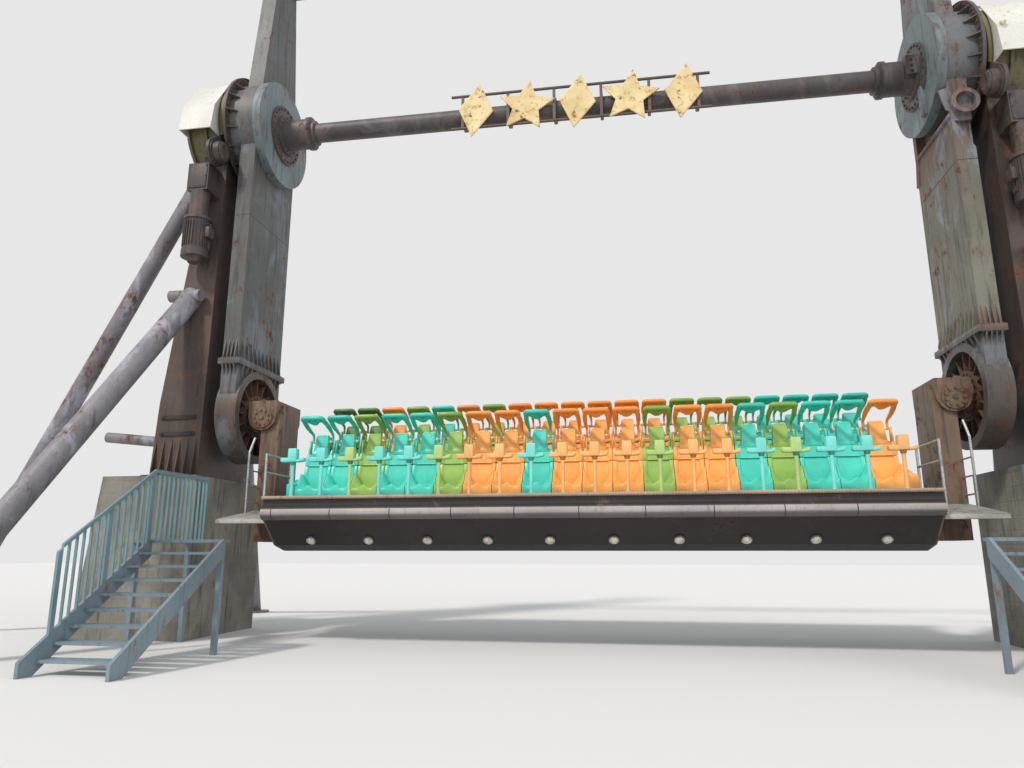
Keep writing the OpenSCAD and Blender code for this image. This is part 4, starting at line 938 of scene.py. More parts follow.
def seat_base():
    bpy.ops.object.select_all(action="DESELECT")
    front = BASE_FRONT + LIP_BACK
    middle_y = (front + BASE_BACK) / 2
    bpy.ops.mesh.primitive_grid_add(x_subdivisions=20, y_subdivisions=14, size=1,
                                    location=(0, middle_y, PAN_Z))
    bpy.context.object.scale = (2 * SEAT_HALF, BASE_BACK - front, 1)
    piece = placed("one_base")
    lift(piece, lambda co: abs(co.x) > SEAT_HALF - 0.015, (0, 0, 0.055), 0.085)
    lift(piece, lambda co: abs(co.x) < 0.02 and co.y < front + 0.09, (0, 0, 0.065), 0.125)
    lift(piece, lambda co: abs(co.x) > SEAT_HALF - 0.03 and co.y > BASE_BACK - 0.11, (0, 0, 0.24), 0.19)
    lift(piece, lambda co: co.y < front + 0.01, (0, 0, -0.012), 0.03)
    alone(piece)
    bpy.ops.object.mode_set(mode="EDIT")
    bpy.ops.mesh.select_mode(type="EDGE")
    bpy.ops.mesh.select_all(action="DESELECT")
    bpy.ops.mesh.select_non_manifold()
    bpy.ops.mesh.extrude_region_move(TRANSFORM_OT_translate={"value": (0, 0, -0.001)})
    bpy.ops.transform.resize(value=(1, 1, 0), center_override=(0, middle_y, BAND_Z))
    bpy.ops.mesh.extrude_region_move(TRANSFORM_OT_translate={"value": (0, 0, FOOT_Z - BAND_Z)})
    bpy.ops.mesh.edge_face_add()
    face_outwards(piece)
    lift(piece, lambda co: co.y < front + 0.003 and co.z < BAND_Z + 0.01, (0, BASE_FRONT - front, 0), 0)
    soften(piece, 0.008, 2, 50)
    return piece


def toe_recess_shade():
    """A dark three-cornered prism, a millimetre proud of each base's front: painted shade that stands for the
    small recess low in it.
    """
    piece = rod("toe_recess_shade", (0, BASE_FRONT - 0.001, TOE_Z), (0, BASE_FRONT + 0.03, TOE_Z), TOE_R, 3)
    piece.data.transform(Matrix.Diagonal((1, 1, TOE_FLAT, 1)))
    return piece


one_base = seat_base()
one_toe = toe_recess_shade()
print("seat base", len(one_base.data.polygons), "faces")

# %% [markdown]
# A low housing closes each end of the row. It is a block with one extrusion, whose top is lifted towards the
# back, and it is modelled for the right-hand end and mirrored for the left.

# %% Model the end housing
HOUSING_FRONT, HOUSING_IN, HOUSING_OUT = BASE_FRONT - 0.038, SEAT_HALF - 0.004, SEAT_HALF + 0.138
HOUSING_LOW, HOUSING_HIGH, HOUSING_BACK = 0.002, 0.27, 0.2


def end_housing():
    """The low housing beyond a row's last seat, for the right-hand end."""
    piece = block("housing", (HOUSING_IN, HOUSING_FRONT, HOUSING_LOW),
                  (HOUSING_OUT, BASE_BACK - HOUSING_BACK, HOUSING_HIGH))
    edit(piece, facing("y", 1))
    grow(piece, (0, HOUSING_BACK, 0))
    close(piece)
    lift(piece, lambda co: co.z > 0.1 and co.y > BASE_BACK - 0.25, (0, 0, 0.04), 0)
    lift(piece, lambda co: co.z > 0.1 and co.y > BASE_BACK - 0.05, (0, 0, 0.085), 0)
    soften(piece, 0.024, 4)
    return piece


right_housing = end_housing()
print("end housing", len(right_housing.data.polygons), "faces")

# %% [markdown]
# The restraint is a raised frame: two flat legs that rise from the pin, bend forward and widen, a padded
# chest panel with a round lower edge between them, and a stout handle bar whose ends turn back into the
# legs. The bends of legs and bar are made with spin, and the panel's edge is pulled with proportional
# editing. The panel and the bar are made flat and then laid along the legs.

# %% Model one restraint
RUN_LEAN = math.radians(67.5)
BEND_Z, BEND_R = 0.09, 0.06
RUN_WAY = Vector((0, -math.sin(RUN_LEAN), math.cos(RUN_LEAN)))
RUN_START = Vector((0, -BEND_R * (1 - math.cos(RUN_LEAN)), BEND_Z + BEND_R * math.sin(RUN_LEAN)))
RUN = 0.588
LEG_IN, LEG_OUT, LEG_FRONT, LEG_LOW, LEG_HIGH = 0.181, 0.213, 0.024, -0.026, 0.03
# Each part of the leg's run has its length, how far it bears outwards, and how much it widens.
LEG_PARTS = ((0.11, 0.008, 1.5), (0.13, 0.006, 1.35), (0.14, -0.006, 1.06), (0.12, -0.02, 1.12))
PANEL_HALF, PANEL_LOW, PANEL_HIGH = 0.15, RUN - 0.115, RUN - 0.03
BAR_R, BAR_BEND, BAR_STRAIGHT, BAR_TAIL = 0.042, 0.05, 0.148, 0.05


def turned_end(piece, angle, center, axis, steps):
    """Bends a selected end round a centre: its rim is spun without its face, and the new end is closed.
    Spin turns against the right-hand rule, so its angle is negated."""
    bpy.ops.mesh.select_mode(type="EDGE")
    bpy.ops.mesh.delete(type="ONLY_FACE")
    mesh = bmesh.from_edit_mesh(piece.data)
    for edge in mesh.edges:
        edge.select_set(edge.is_boundary)
    bmesh.update_edit_mesh(piece.data)
    bpy.ops.mesh.spin(steps=steps, angle=-angle, center=center, axis=axis)
    bpy.ops.mesh.edge_face_add()
    bpy.ops.mesh.select_mode(type="FACE")


def restraint_leg():
    piece = block("leg", (LEG_IN, -LEG_FRONT, LEG_LOW), (LEG_OUT, LEG_FRONT, LEG_HIGH))
    edit(piece, lambda face: top_of(face, LEG_HIGH))
    grow(piece, (0, 0, BEND_Z - LEG_HIGH), (1.2, 1.05, 1))
    turned_end(piece, RUN_LEAN, (0, -BEND_R, BEND_Z), (1, 0, 0), 4)
    for length, outwards, wide in LEG_PARTS:
        grow(piece, RUN_WAY * length + Vector((outwards, 0, 0)), (wide, 1, 1))
    face_outwards(piece)
    bevel(piece, 0.013, 3, 50)
    modify(piece, "MIRROR", use_axis=(True, False, False), use_clip=False)
    return outward(piece)


def restraint_panel():
    piece = block("panel", (-PANEL_HALF, -0.03, PANEL_LOW), (PANEL_HALF, 0.026, PANEL_HIGH))
    edit(piece, lambda face: abs(face.normal.x) < 0.5)
    bpy.ops.mesh.subdivide(number_cuts=10, quadcorner="INNERVERT")
    close(piece)
    lift(piece, lambda co: abs(co.x) < 0.02 and co.z < PANEL_LOW + 0.01, (0, 0, -0.1), 0.125)
    lift(piece, lambda co: abs(co.x) < 0.04 and co.y < -0.02 and co.z > PANEL_LOW, (0, -0.012, 0), 0.12)
    bevel(piece, 0.01, 3, 60)
    return piece


def restraint_bar():
    bar = rod("bar", (-BAR_STRAIGHT, 0, RUN), (BAR_STRAIGHT, 0, RUN), BAR_R, 28)
    for side in (-1, 1):
        edit(bar, lambda face: face.calc_center_median().x * side > BAR_STRAIGHT - 0.001)
        turned_end(bar, side * math.pi / 2, (side * BAR_STRAIGHT, 0, RUN - BAR_BEND), (0, 1, 0), 6)
        grow(bar, (0, 0, -BAR_TAIL), (0.94, 0.94, 1))
        face_outwards(bar)
    return bar


def restraint():
    flat = joined("flat", [restraint_panel(), restraint_bar()])
    flat.data.transform(shift(*RUN_START) @ Matrix.Rotation(RUN_LEAN, 4, "X"))
    piece = joined("one_restraint", [restraint_leg(), flat])
    alone(piece)
    bpy.ops.object.shade_smooth_by_angle(angle=SMOOTH_BELOW)
    piece.data.transform(shift(0, PIN_Y, PIN_Z))
    return piece


one_restraint = restraint()
print("restraint", len(one_restraint.data.polygons), "faces")

# %% [markdown]
# In front of each seat stands a grab post: a slim pole with a collar, a padded crossbar that is full on its
# left and rises to its right tip like a wedge, and a square head with a slight taper. It is the row's most
# visible rhythm, so its parts keep their own edges instead of one smooth blend.

# %% Model one grab post
POST_Y, POST_BAR_Z, POST_R, POST_FOOT_R = -1.89, 0.595, 0.031, 0.055
COLLAR_R, COLLAR_TOP_R = 0.04, 0.055
BAR_HALF, BAR_LEFT_HIGH, BAR_RIGHT_HIGH = 0.062, 0.078, 0.042
TOP_HALF_X, TOP_HALF_Y, TOP_STEP = 0.08, 0.07, 0.15


def post_bar():
    front, back, low = POST_Y - BAR_HALF, POST_Y + BAR_HALF, POST_BAR_Z
    left = block("bar", (-0.10, front, low), (0.05, back, low + BAR_LEFT_HIGH))
    edit(left, facing("x", -1))
    grow(left, (-0.1, 0, 0.002), (1, 0.96, 1))
    grow(left, (-0.022, 0, 0.006), (1, 0.86, 0.72))
    close(left)
    right = block("bar", (0.04, front, low), (0.1, back, low + BAR_RIGHT_HIGH))
    edit(right, facing("x", 1))
    grow(right, (0.095, 0, 0.028), (1, 0.96, 1.5))
    grow(right, (0.025, 0, 0.004), (1, 0.84, 0.66))
    close(right)
    lift(right, lambda co: co.x > 0.15 and co.z < low + 0.045, (0, 0, -0.008), 0)
    whole = joined("bar", [left, right])
    soften(whole, 0.014, 3, 20)
    return whole


def post_head():
    top = POST_BAR_Z + TOP_STEP
    piece = block("head", (-TOP_HALF_X, POST_Y - TOP_HALF_Y, POST_BAR_Z + 0.004),
                  (TOP_HALF_X, POST_Y + TOP_HALF_Y, top))
    edit(piece, lambda face: top_of(face, top))
    grow(piece, (0, 0, 0.092), (0.95, 0.93, 1))
    close(piece)
    soften(piece, 0.014, 3)
    return piece


def post_pole():
    pole = rod("pole", (0, POST_Y, 0), (0, POST_Y, POST_BAR_Z - 0.03), POST_R, 20)
    foot = rod("foot", (0, POST_Y, 0), (0, POST_Y, 0.012), POST_FOOT_R, 20)
    soften(foot, 0.004, 2)
    return joined("pole", [pole, foot])


def post_collar():
    low, high = POST_BAR_Z - 0.05, POST_BAR_Z + 0.01
    collar = rod("collar", (0, POST_Y, low), (0, POST_Y, high), COLLAR_R, 20, COLLAR_TOP_R)
    soften(collar, 0.004, 2)
    return collar


one_post_top = joined("one_post_top", [post_bar(), post_head()])
one_post_pole = post_pole()
one_post_collar = post_collar()
print("grab post", len(one_post_top.data.polygons), "faces")

# %% [markdown]
# One seat of each kind is now copied along both rows. Every copy takes the colour of its place, and a row's
# copies are joined, so that each row is a handful of pieces with three or four finishes.

# %% Set the rows of seats
ROWS = {"front": (0.0, FRONT_FLOOR, FRONT_COLOURS), "back": (ROW_BACK, BACK_FLOOR, BACK_COLOURS)}


def seat_moves(row):
    step, floor, _ = ROWS[row]
    return [shift((place - (SEATS - 1) / 2) * SEAT_PITCH, step, floor) for place in range(SEATS)]


def coloured_row(name, model, row, finishes):
    copies = []
    for move, letter in zip(seat_moves(row), ROWS[row][2]):
        twin = copied(model, move)
        twin.data.materials.clear()
        twin.data.materials.append(finishes[letter])
        copies.append(twin)
    return joined(name, copies)


def plain_row(name, model, row, material):
    whole = joined(name, [copied(model, move) for move in seat_moves(row)])
    whole.data.materials.clear()
    whole.data.materials.append(material)
    return whole


def row_housings(row):
    moves, letters = seat_moves(row), ROWS[row][2]
    ends = ((left_housing, moves[0], letters[0]), (right_housing, moves[-1], letters[-1]))
    pieces = []
    for model, move, letter in ends:
        twin = copied(model, move)
        twin.data.materials.append(seat_plastic[letter])
        pieces.append(twin)
    return joined(f"{row}_row_end_housings", pieces)


left_housing = copied(right_housing, TO_LEFT)
outward(left_housing)
for row in ROWS:
    backs = coloured_row(f"{row}_row_backs", one_back, row, seat_plastic)
    finished(backs, "gondola")
    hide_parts(f"{row}_seat_backs")
    bases = coloured_row(f"{row}_row_bases", one_base, row, seat_plastic)
    finished(bases, "gondola")
    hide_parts(f"{row}_seat_bases")
    finished(row_housings(row), "gondola")
    # The toe recesses are dark prisms of painted shade, not cut recesses.
    toes = coloured_row(f"{row}_row_toe_recess_shades", one_toe, row, painted_shade_plastic)
    finished(toes, "gondola")
    frames = coloured_row(f"{row}_row_restraints", one_restraint, row, restraint_plastic)
    finished(frames, f"{row}_restraint_row")
    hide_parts(f"{row}_restraints")
    posts = coloured_row(f"{row}_row_post_tops", one_post_top, row, post_plastic)
    finished(posts, "gondola")
    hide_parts(f"{row}_grab_posts")
    poles = coloured_row(f"{row}_row_post_poles", one_post_pole, row, post_plastic)
    finished(poles, "gondola")
    # The collars are darker than their posts: painted shade.
    collars = coloured_row(f"{row}_row_post_collars", one_post_collar, row, painted_shade_plastic)
    finished(collars, "gondola")
    bush_row = plain_row(f"{row}_row_pin_bushes", one_bushes, row, bush_plastic)
    finished(bush_row, "gondola")
    pin_row = plain_row(f"{row}_row_pins", one_pin, row, galvanised)
    finished(pin_row, "gondola")
    print(row, "row of seats set")
for model in (one_back, one_base, one_toe, one_restraint, one_post_top, one_post_pole, one_post_collar,
              one_bushes, one_pin, left_housing, right_housing):
    bpy.data.objects.remove(model)

# %% [markdown]
# The steelwork is held by bolts: rings of them round the hubs and the shaft's flanges, and rows of them on
# the arms' joints and the towers' feet. One hexagon head on its washer is modelled for each size and then
# copied round a centre or along a row, on the right-hand side first, and mirrored to the left.

# %% Helpers for fastenings
def bolt(place, way, size=0.022):
    """A hexagon head on its washer, whose root reaches a little into what it holds."""
    place, way = Vector(place), Vector(way)
    root, washer_top, head_top = way * 0.004, way * 0.005, way * (0.006 + size * 0.75)
    washer = rod("washer", place - root, place + washer_top, size * 1.35, 12)
    head = rod("bolt_head", place + root, place + head_top, size, 6)
    soften(head, size * 0.12, 1)
    return joined("bolt", [washer, head])


def round_hub(count, first=0.0, about=(0, 0, HUB_Z)):
    return [spin_x(math.tau * (i + first) / count, about) for i in range(count)]


def bolt_circle(x, radius, count, size=0.022, first=0.0):
    """Bolts round the hub axis, whose heads look towards the middle of the ride."""
    return repeated("bolt_circle", bolt((x, -radius, HUB_Z), (-1, 0, 0), size), round_hub(count, first))


def both_sides(piece, name, body, material):
    """Finishes a right-hand piece and its mirror image on the left."""
    left = copied(piece, TO_LEFT)
    outward(left)
    for side, twin in (("left", left), ("right", piece)):
        twin.name = twin.data.name = f"{side}_{name}"
        finished(twin, body, material)


print("fastening helpers ready")

# %% [markdown]
# Each hub is bolted all round: large heads on its boss, two bolts between every two gussets of the slewing
# ring, and a smaller circle on the shaft's flange. An array modifier that follows a turned empty could copy
# them, but a list of turns needs no helper object. The right side has two fittings of its own, a bolted
# clamp on the shaft's sleeve and an upright rib on the disc.

# %% Bolts of the hubs, the slewing rings and the shaft
RING_X, SLEEVE_FLANGE_X = 7.35, BOSS_X - 0.06
BOSS_BOLTS_R, RING_BOLTS_R, SLEEVE_BOLTS_R = 0.59, 1.225, 0.385
CLAMP_IN, CLAMP_OUT, CLAMP_FRONT, CLAMP_BACK, CLAMP_HALF = 6.34, 6.535, -0.475, -0.3, 0.2
DISC_RIB_LOW, DISC_RIB_HIGH = HUB_Z - 1.03, HUB_Z - 0.42


def shaft_clamp():
    clamp = block("clamp", (CLAMP_IN, CLAMP_FRONT, HUB_Z - CLAMP_HALF),
                  (CLAMP_OUT, CLAMP_BACK, HUB_Z + CLAMP_HALF))
    inset(clamp, facing("y", -1), 0.03, (0, 0.015, 0))
    soften(clamp, 0.006, 2)
    heads = [bolt(((CLAMP_IN + CLAMP_OUT) / 2, CLAMP_FRONT + 0.015, HUB_Z + z), (0, -1, 0), 0.026)
             for z in (-0.12, 0, 0.12)]
    return joined("right_shaft_clamp", [clamp, *heads])


def disc_rib():
    rib = block("right_disc_rib", (BOSS_X - 0.025, -0.4, DISC_RIB_LOW), (BOSS_X + 0.06, -0.24, DISC_RIB_HIGH))
    edit(rib, facing("x", -1))
    grow(rib, (-0.012, 0, 0), (1, 0.7, 0.94))
    close(rib)
    soften(rib, 0.005, 2)
    return rib


both_sides(bolt_circle(BOSS_X, BOSS_BOLTS_R, 24, 0.026), "hub_bolts", "arms",
           coats["ring_steel"])
ring_bolts = [bolt_circle(RING_X, RING_BOLTS_R, 20, 0.024, first) for first in (0.3, 0.7)]
both_sides(joined("ring_bolts", ring_bolts), "ring_bolts", "arms", coats["ring_steel"])
both_sides(bolt_circle(SLEEVE_FLANGE_X, SLEEVE_BOLTS_R, 16), "sleeve_bolts", "arms",
           coats["shaft_paint"])
finished(shaft_clamp(), "arms", coats["motor_paint"])
finished(disc_rib(), "arms", coats["left_arm_shaded_paint"])
print("hub bolts set")

# %% [markdown]
# The lower arm is a box welded from plates, and its end flange is bolted to the round arm end. A weld could
# be a line in the paint, but a thin raised bead catches the light as the real one does.

# %% Bolts of the arm joints and welds of the arms
JOINT_LOW, JOINT_HIGH, JOINT_PITCH, JOINT_END_PITCH = 5.24, 5.36, 0.17, 0.08
ARM_HALF = 0.9
WELD_LOW, WELD_HIGH, WELD_PROUD = 8.45, 8.466, 0.004


def joint_bolts():
    upper = bolt((0, 0, JOINT_HIGH), (0, 0, 1), 0.021)
    lower = bolt((0, 0, JOINT_LOW), (0, 0, -1), 0.021)
    inner = [shift(ARM_IN - 0.04, i * JOINT_PITCH) for i in range(-5, 6)]
    ends = [shift(ARM_IN + 0.01 + JOINT_END_PITCH * i, side * (ARM_HALF + 0.042))
            for i in range(5) for side in (-1, 1)]
    return repeated("joint_bolts", joined("joint_bolt", [upper, lower]), inner + ends)


def arm_weld():
    bead = block("weld", (ARM_IN - WELD_PROUD, -ARM_HALF - WELD_PROUD, WELD_LOW),
                 (ARM_OUT + WELD_PROUD, ARM_HALF + WELD_PROUD, WELD_HIGH))
    edit(bead, lambda face: abs(face.normal.z) < 0.5)
    bpy.ops.mesh.subdivide(number_cuts=1)
    close(bead)
    soften(bead, 0.003, 1)
    return bead


both_sides(joint_bolts(), "joint_bolts", "arms", coats["arm_end_paint"])
both_sides(arm_weld(), "arm_seams", "arms", coats["ring_steel"])
print("arm joints set")

# %% [markdown]
# Each tower stands on a base flange with anchor bolts on three sides, and two flat straps cross the front of
# its column above the ribs. They are plain bars, so a softened block with a bolt near each end is enough.

# %% Bolts of the towers' feet and the straps above them
FOOT_TOP, FOOT_PITCH, FOOT_BOLTS_Y, FOOT_BOLTS_OUT = 3.05, 0.17, 0.935, TOWER_IN + 1.08
STRAP_HEIGHTS, STRAP_FRONT, STRAP_BACK, STRAP_HALF = (3.86, 4.19), -0.896, -0.86, 0.04


def foot_bolts():
    ends = [shift(TOWER_IN + 0.175 + FOOT_PITCH * i, side * FOOT_BOLTS_Y)
            for i in range(5) for side in (-1, 1)]
    outer = [shift(FOOT_BOLTS_OUT, (i + 0.5) * FOOT_PITCH) for i in range(-4, 4)]
    return repeated("foot_bolts", bolt((0, 0, FOOT_TOP), (0, 0, 1), 0.032), ends + outer)


def column_straps():
    straps = []
    for height in STRAP_HEIGHTS:
        strap = block("strap", (TOWER_IN + 0.14, STRAP_FRONT, height - STRAP_HALF),
                      (TOWER_IN + 0.88, STRAP_BACK, height + STRAP_HALF))
        soften(strap, 0.004, 1)
        heads = [bolt((TOWER_IN + x, STRAP_FRONT, height), (0, -1, 0), 0.02) for x in (0.2, 0.82)]
        straps += [strap, *heads]
    return joined("column_straps", straps)


both_sides(foot_bolts(), "column_foot_bolts", "towers", coats["motor_paint"])
both_sides(column_straps(), "column_straps", "towers", coats["seam_black"])
print("tower feet set")

# %% [markdown]
# The drive motors are plain drums in the CAD model. The real ones have cooling fins, a bolted flange and a
# terminal box, and the pinion motor beside the ring shows its bolted end. The fins are one thin plate copied
# round the drum.

# %% Drive motors
MOTOR_X, MOTOR_Y, MOTOR_R = TOWER_IN + 0.33, -1.14, 0.24
FINS_LOW, FINS_HIGH, FLANGE_TOP, COWL_HIGH, COWL_LOW = 7.66, 8.21, 8.31, 7.46, 7.34
TERMINAL_LOW, TERMINAL_HIGH = 7.86, 8.08
COVER_FRONT, COVER_BACK, COVER_LOW, COVER_HIGH = -1.304, -1.286, 8.94, 9.46
PINION = (0, -1.2459, 9.7303)
LID_X, LID_ROOT, LID_FACE = TOWER_IN - 0.17, 0.004, -0.022


def about_motor(count, first=0.0):
    return [shift(MOTOR_X, MOTOR_Y) @ Matrix.Rotation(math.tau * (i + first) / count, 4, "Z")
            for i in range(count)]


def motor_fins():
    fin = block("fin", (-0.006, -MOTOR_R - 0.026, FINS_LOW), (0.006, -MOTOR_R + 0.01, FINS_HIGH))
    edit(fin, facing("y", -1))
    grow(fin, (0, -0.004, 0), (0.6, 1, 0.94))
    close(fin)
    return repeated("motor_fins", fin, about_motor(28))


def motor_fittings():
    flange_bolt = bolt((0, -MOTOR_R + 0.005, FLANGE_TOP), (0, 0, 1), 0.018)
    flange = repeated("flange_bolts", flange_bolt, about_motor(12, 0.5))
    cowl = rod("cowl", (MOTOR_X, MOTOR_Y, COWL_HIGH), (MOTOR_X, MOTOR_Y, COWL_LOW), 0.2, 32, 0.12)
    inset(cowl, facing("z", -1), 0.03, (0, 0, 0.02))
    soften(cowl, 0.006, 2)
    terminal = block("terminal_box", (MOTOR_X - 0.33, MOTOR_Y - 0.1, TERMINAL_LOW),
                     (MOTOR_X - 0.22, MOTOR_Y + 0.1, TERMINAL_HIGH))
    soften(terminal, 0.012, 2)
    return joined("motor_fittings", [flange, cowl, terminal])


def box_cover():
    cover = block("box_cover", (MOTOR_X - 0.2, COVER_FRONT, COVER_LOW),
                  (MOTOR_X + 0.2, COVER_BACK, COVER_HIGH))
    inset(cover, facing("y", -1), 0.05, (0, -0.012, 0))
    soften(cover, 0.004, 2)
    middle_z = (COVER_LOW + COVER_HIGH) / 2
    heads = repeated("cover_bolts", bolt((0, COVER_FRONT, 0), (0, -1, 0), 0.013),
                     [shift(MOTOR_X + x, 0, middle_z + z)
                      for x in (-0.176, 0.176) for z in (-0.23, 0, 0.23)])
    return joined("box_cover", [cover, heads])


def pinion_end():
    near = Vector(PINION) + Vector((LID_X, 0, 0))
    lid = rod("pinion_lid", near + Vector((LID_ROOT, 0, 0)), near + Vector((LID_FACE, 0, 0)), 0.2, 32)
    edit(lid, facing("x", -1))
    for rim, depth in ((0.07, -0.03), (0.05, 0.02)):
        bpy.ops.mesh.inset(thickness=rim)
        push((depth, 0, 0))
    close(lid)
    soften(lid, 0.005, 2)
    lid_bolt = bolt(near + Vector((LID_FACE, -0.165, 0)), (-1, 0, 0), 0.016)
    return joined("pinion_end", [lid, repeated("lid_bolts", lid_bolt, round_hub(8, 0.5, PINION))])


both_sides(joined("motor_details", [motor_fins(), motor_fittings(), box_cover(), pinion_end()]),
           "motor_details", "towers", coats["motor_paint"])
print("drive motors set")

# %% [markdown]
# A small lamp sits on the brow of the right cover only. Its glass is the end of a short drum, inset for the
# rim and drawn out to a blunt dome.

# %% Cover lamp
COVER_LAMP_X, COVER_LAMP_ROOT, COVER_LAMP_FRONT, COVER_LAMP_Z, COVER_LAMP_R = 7.69, -1.3, -1.385, 10.84, 0.05


def cover_lamp():
    lamp = rod("right_cover_lamp", (COVER_LAMP_X, COVER_LAMP_ROOT, COVER_LAMP_Z),
               (COVER_LAMP_X, COVER_LAMP_FRONT, COVER_LAMP_Z), COVER_LAMP_R, 24)
    edit(lamp, facing("y", -1))
    bpy.ops.mesh.inset(thickness=0.012)
    grow(lamp, (0, -0.02, 0), (0.6, 1, 0.6))
    close(lamp)
    soften(lamp, 0.006, 3)
    return lamp


finished(cover_lamp(), "towers", lamp_glass)
print("cover lamp set")

# %% [markdown]
# Along the front of the gondola runs a rounded deck nosing with fine ribs, which looks like a rope from afar.
# Below it the fascia and its moulding are made of lengths with a dark joint between them, one for every two
# seats. A joint could be cut into the CAD piece, but that stays as it is, so each joint is a thin dark strip
# that stands a little proud, and a slice of drum where it crosses the round moulding.

# %% Deck nosing and fascia joints
NOSING_Z, NOSING_R, RIB_R, RIB_WIDE, RIB_STEP = FRONT_FLOOR - 0.03, 0.026, 0.033, 0.026, 0.05
JOINT_STEP = 2 * SEAT_PITCH
MOULDING_Y, MOULDING_Z, MOULDING_R = -1.96, FRONT_FLOOR - 0.29, 0.12
BAND_FRONT, BAND_BACK, BAND_TOP = MOULDING_Y - 0.043, MOULDING_Y - 0.03, FRONT_FLOOR - 0.06


def deck_nosing():
    strip = rod("nosing", (-DECK_HALF, DECK_FRONT, NOSING_Z), (DECK_HALF, DECK_FRONT, NOSING_Z), NOSING_R, 12)
    rib = rod("nosing_rib", (0, DECK_FRONT, NOSING_Z), (RIB_WIDE, DECK_FRONT, NOSING_Z), RIB_R, 12)
    soften(rib, 0.007, 2)
    count = round(2 * DECK_HALF / RIB_STEP)
    ribs = repeated("nosing_ribs", rib, [shift(-DECK_HALF + 0.012 + RIB_STEP * i) for i in range(count)])
    return joined("deck_nosing", [strip, ribs])


def fascia_joints():
    band = block("band_joint", (-0.005, BAND_FRONT, MOULDING_Z), (0.005, BAND_BACK, BAND_TOP))
    half_joint = copied(band, shift(JOINT_STEP / 2))
    collar = rod("moulding_joint", (-0.007, MOULDING_Y, MOULDING_Z), (0.007, MOULDING_Y, MOULDING_Z),
                 MOULDING_R + 0.003, 40)
    one = joined("joint", [band, half_joint, collar])
    edit_whole(one)
    bpy.ops.mesh.bisect(plane_co=(0, MOULDING_Y + 0.02, 0), plane_no=(0, 1, 0), clear_outer=True,
                        use_fill=True)
    close(one)
    return repeated("fascia_joints", one, [shift(JOINT_STEP * i) for i in range(-5, 5)])


finished(deck_nosing(), "gondola", coats["nosing_paint"])
finished(fascia_joints(), "gondola", coats["seam_black"])
print("deck edge set")

# %% [markdown]
# A lamp sits under the middle of each fascia length, square to the sloping hull. The dome is a flattened
# sphere cut in half with a bisection, and its bezel a short drum with an inset face that is pushed in.

# %% Lamps of the hull
LAMP_TILT = math.atan2(0.48, 0.54)
DOME_R, DOME_FLAT, BEZEL_R = 0.07, 0.62, 0.085


def lamp_domes(lamp_moves):
    bpy.ops.object.select_all(action="DESELECT")
    bpy.ops.mesh.primitive_uv_sphere_add(segments=28, ring_count=14, radius=DOME_R)
    bpy.context.object.scale = (1, 1, DOME_FLAT)
    dome = placed("dome")
    edit_whole(dome)
    bpy.ops.mesh.bisect(plane_co=(0, 0, 0.004), plane_no=(0, 0, 1), clear_outer=True, use_fill=True)
    close(dome)
    bpy.ops.object.shade_smooth_by_angle(angle=SMOOTH_BELOW)
    return repeated("lamp_domes", dome, lamp_moves)


def lamp_bezels(lamp_moves):
    bezel = rod("bezel", (0, 0, 0.02), (0, 0, -0.022), BEZEL_R, 28)
    inset(bezel, facing("z", -1), 0.012, (0, 0, 0.012))
    soften(bezel, 0.004, 2)
    return repeated("lamp_bezels", bezel, lamp_moves)


lamp_middle = middle("belly_lamps")
tilt = Matrix.Rotation(-LAMP_TILT, 4, "X")
lamp_moves = [shift(JOINT_STEP * (i + 0.5), lamp_middle.y, lamp_middle.z) @ tilt for i in range(-5, 5)]
domes = finished(lamp_domes(lamp_moves), "gondola", lamp_glass)
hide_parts("belly_lamps")
finished(lamp_bezels(lamp_moves), "gondola", galvanised)
print("lamps set", len(lamp_moves))

# %% [markdown]
# The sign is five plain plates, lozenges and stars in turn. Each starts as a disc of few points, of which
# every other one is drawn in, and gets its thickness, a chamfered edge and rivets. Lying flat it is easy to
# shape, and one matrix then stands it up, turns it a little and carries it to its place on the frame.

# %% Sign plates
SIGN_STEP, PLATE_R, PLATE_TURN = 1.08, 0.62, -8
LOZENGE, STAR = (2, 0.62), (5, 0.48)
RIVETS_R, RIVET_LOW, RIVET_HIGH = 0.75 * PLATE_R, 0.02, 0.034


def drawn_in(plate, points, ratio):
    """Pulls every other point of a disc towards its middle."""
    def every_other(co):
        turn = math.degrees(math.atan2(co.y, co.x)) - 90
        return round(turn * points / 180) % 2 == 1

    pick_points(plate, every_other)
    bpy.ops.transform.resize(value=(ratio, ratio, 1), center_override=(0, 0, 0))
    return close(plate)


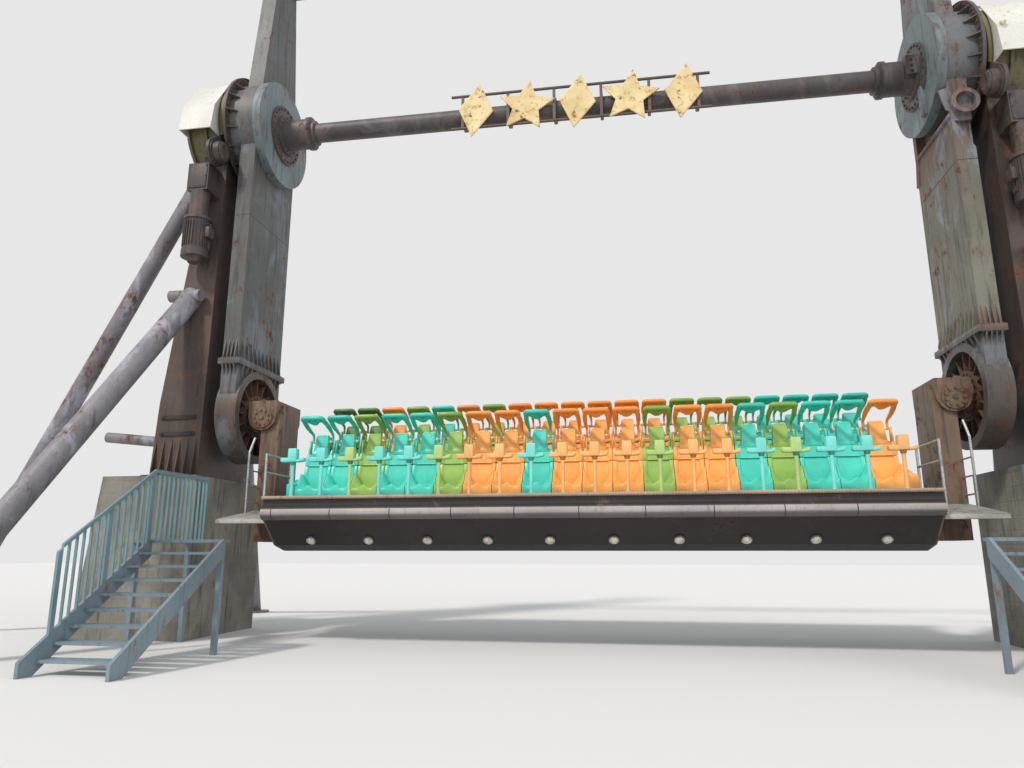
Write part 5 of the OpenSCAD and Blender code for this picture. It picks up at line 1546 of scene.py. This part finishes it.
def sign_plate(points, ratio):
    bpy.ops.object.select_all(action="DESELECT")
    bpy.ops.mesh.primitive_circle_add(vertices=2 * points, radius=PLATE_R, fill_type="NGON")
    plate = drawn_in(placed("plate"), points, ratio)
    edit_whole(plate)
    bpy.ops.mesh.extrude_region_move(TRANSFORM_OT_translate={"value": (0, 0, 0.022)})
    for rim, rise in ((0.012, 0.008), (0.03, -0.004)):
        bpy.ops.mesh.inset(thickness=rim)
        push((0, 0, rise))
    face_outwards(plate)
    soften(plate, 0.003, 1)
    turns = [math.radians(90 + 360 * i / points) for i in range(points)]
    tips = [(RIVETS_R * math.cos(turn), RIVETS_R * math.sin(turn)) for turn in turns]
    rivets = [rod("rivet", (x, y, RIVET_LOW), (x, y, RIVET_HIGH), 0.016, 12, 0.01)
              for x, y in [(0, 0.08), (0, -0.08), *tips]]
    return joined("plate", [plate, *rivets])


def sign():
    upright = Matrix.Rotation(math.pi / 2, 4, "X") @ Matrix.Rotation(math.radians(PLATE_TURN), 4, "Z")
    plates = []
    for i in range(-2, 3):
        plate = sign_plate(*(LOZENGE if i % 2 == 0 else STAR))
        plate.data.transform(shift(i * SIGN_STEP, SIGN_BACK, HUB_Z) @ upright)
        plates.append(plate)
    return joined("sign_plates_bevelled", plates)


plates = finished(sign(), "arms", sign_enamel)
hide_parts("sign_plates")
print("sign set")

# %% [markdown]
# The end steps get a tread of chequered plate, bent down over their front edge. It starts as the short bent
# part, a block whose points are lifted to the slope, and the level part is then grown out of its back.

# %% End steps
TREAD_LOW, TREAD_KNEE, TREAD_TOP = FRONT_FLOOR - 0.46, FRONT_FLOOR - 0.362, FRONT_FLOOR - 0.392
TREAD_FRONT, TREAD_BEND, TREAD_REACH, TREAD_RISE = -1.856, -1.75, 1.25, 0.2
TREAD_IN, TREAD_OUT = DECK_HALF + 0.022, 6.448


def end_step_tread():
    tread = block("tread", (TREAD_IN, TREAD_FRONT, TREAD_LOW), (TREAD_OUT, TREAD_BEND, TREAD_TOP))
    edge, half = TREAD_BEND - 0.01, TREAD_LOW + 0.03
    lift(tread, lambda co: co.y > edge and co.z > half, (0, 0, 0.03), 0)
    lift(tread, lambda co: co.y > edge and co.z < half, (0, 0, TREAD_KNEE - TREAD_LOW - 0.012), 0)
    edit(tread, lambda face: face.normal.y > 0.6 and face.calc_center_median().y > edge)
    grow(tread, (0, TREAD_REACH, TREAD_RISE))
    close(tread)
    soften(tread, 0.004, 1)
    return tread


both_sides(end_step_tread(), "end_step_tread", "gondola", step_plate)
print("end steps set")
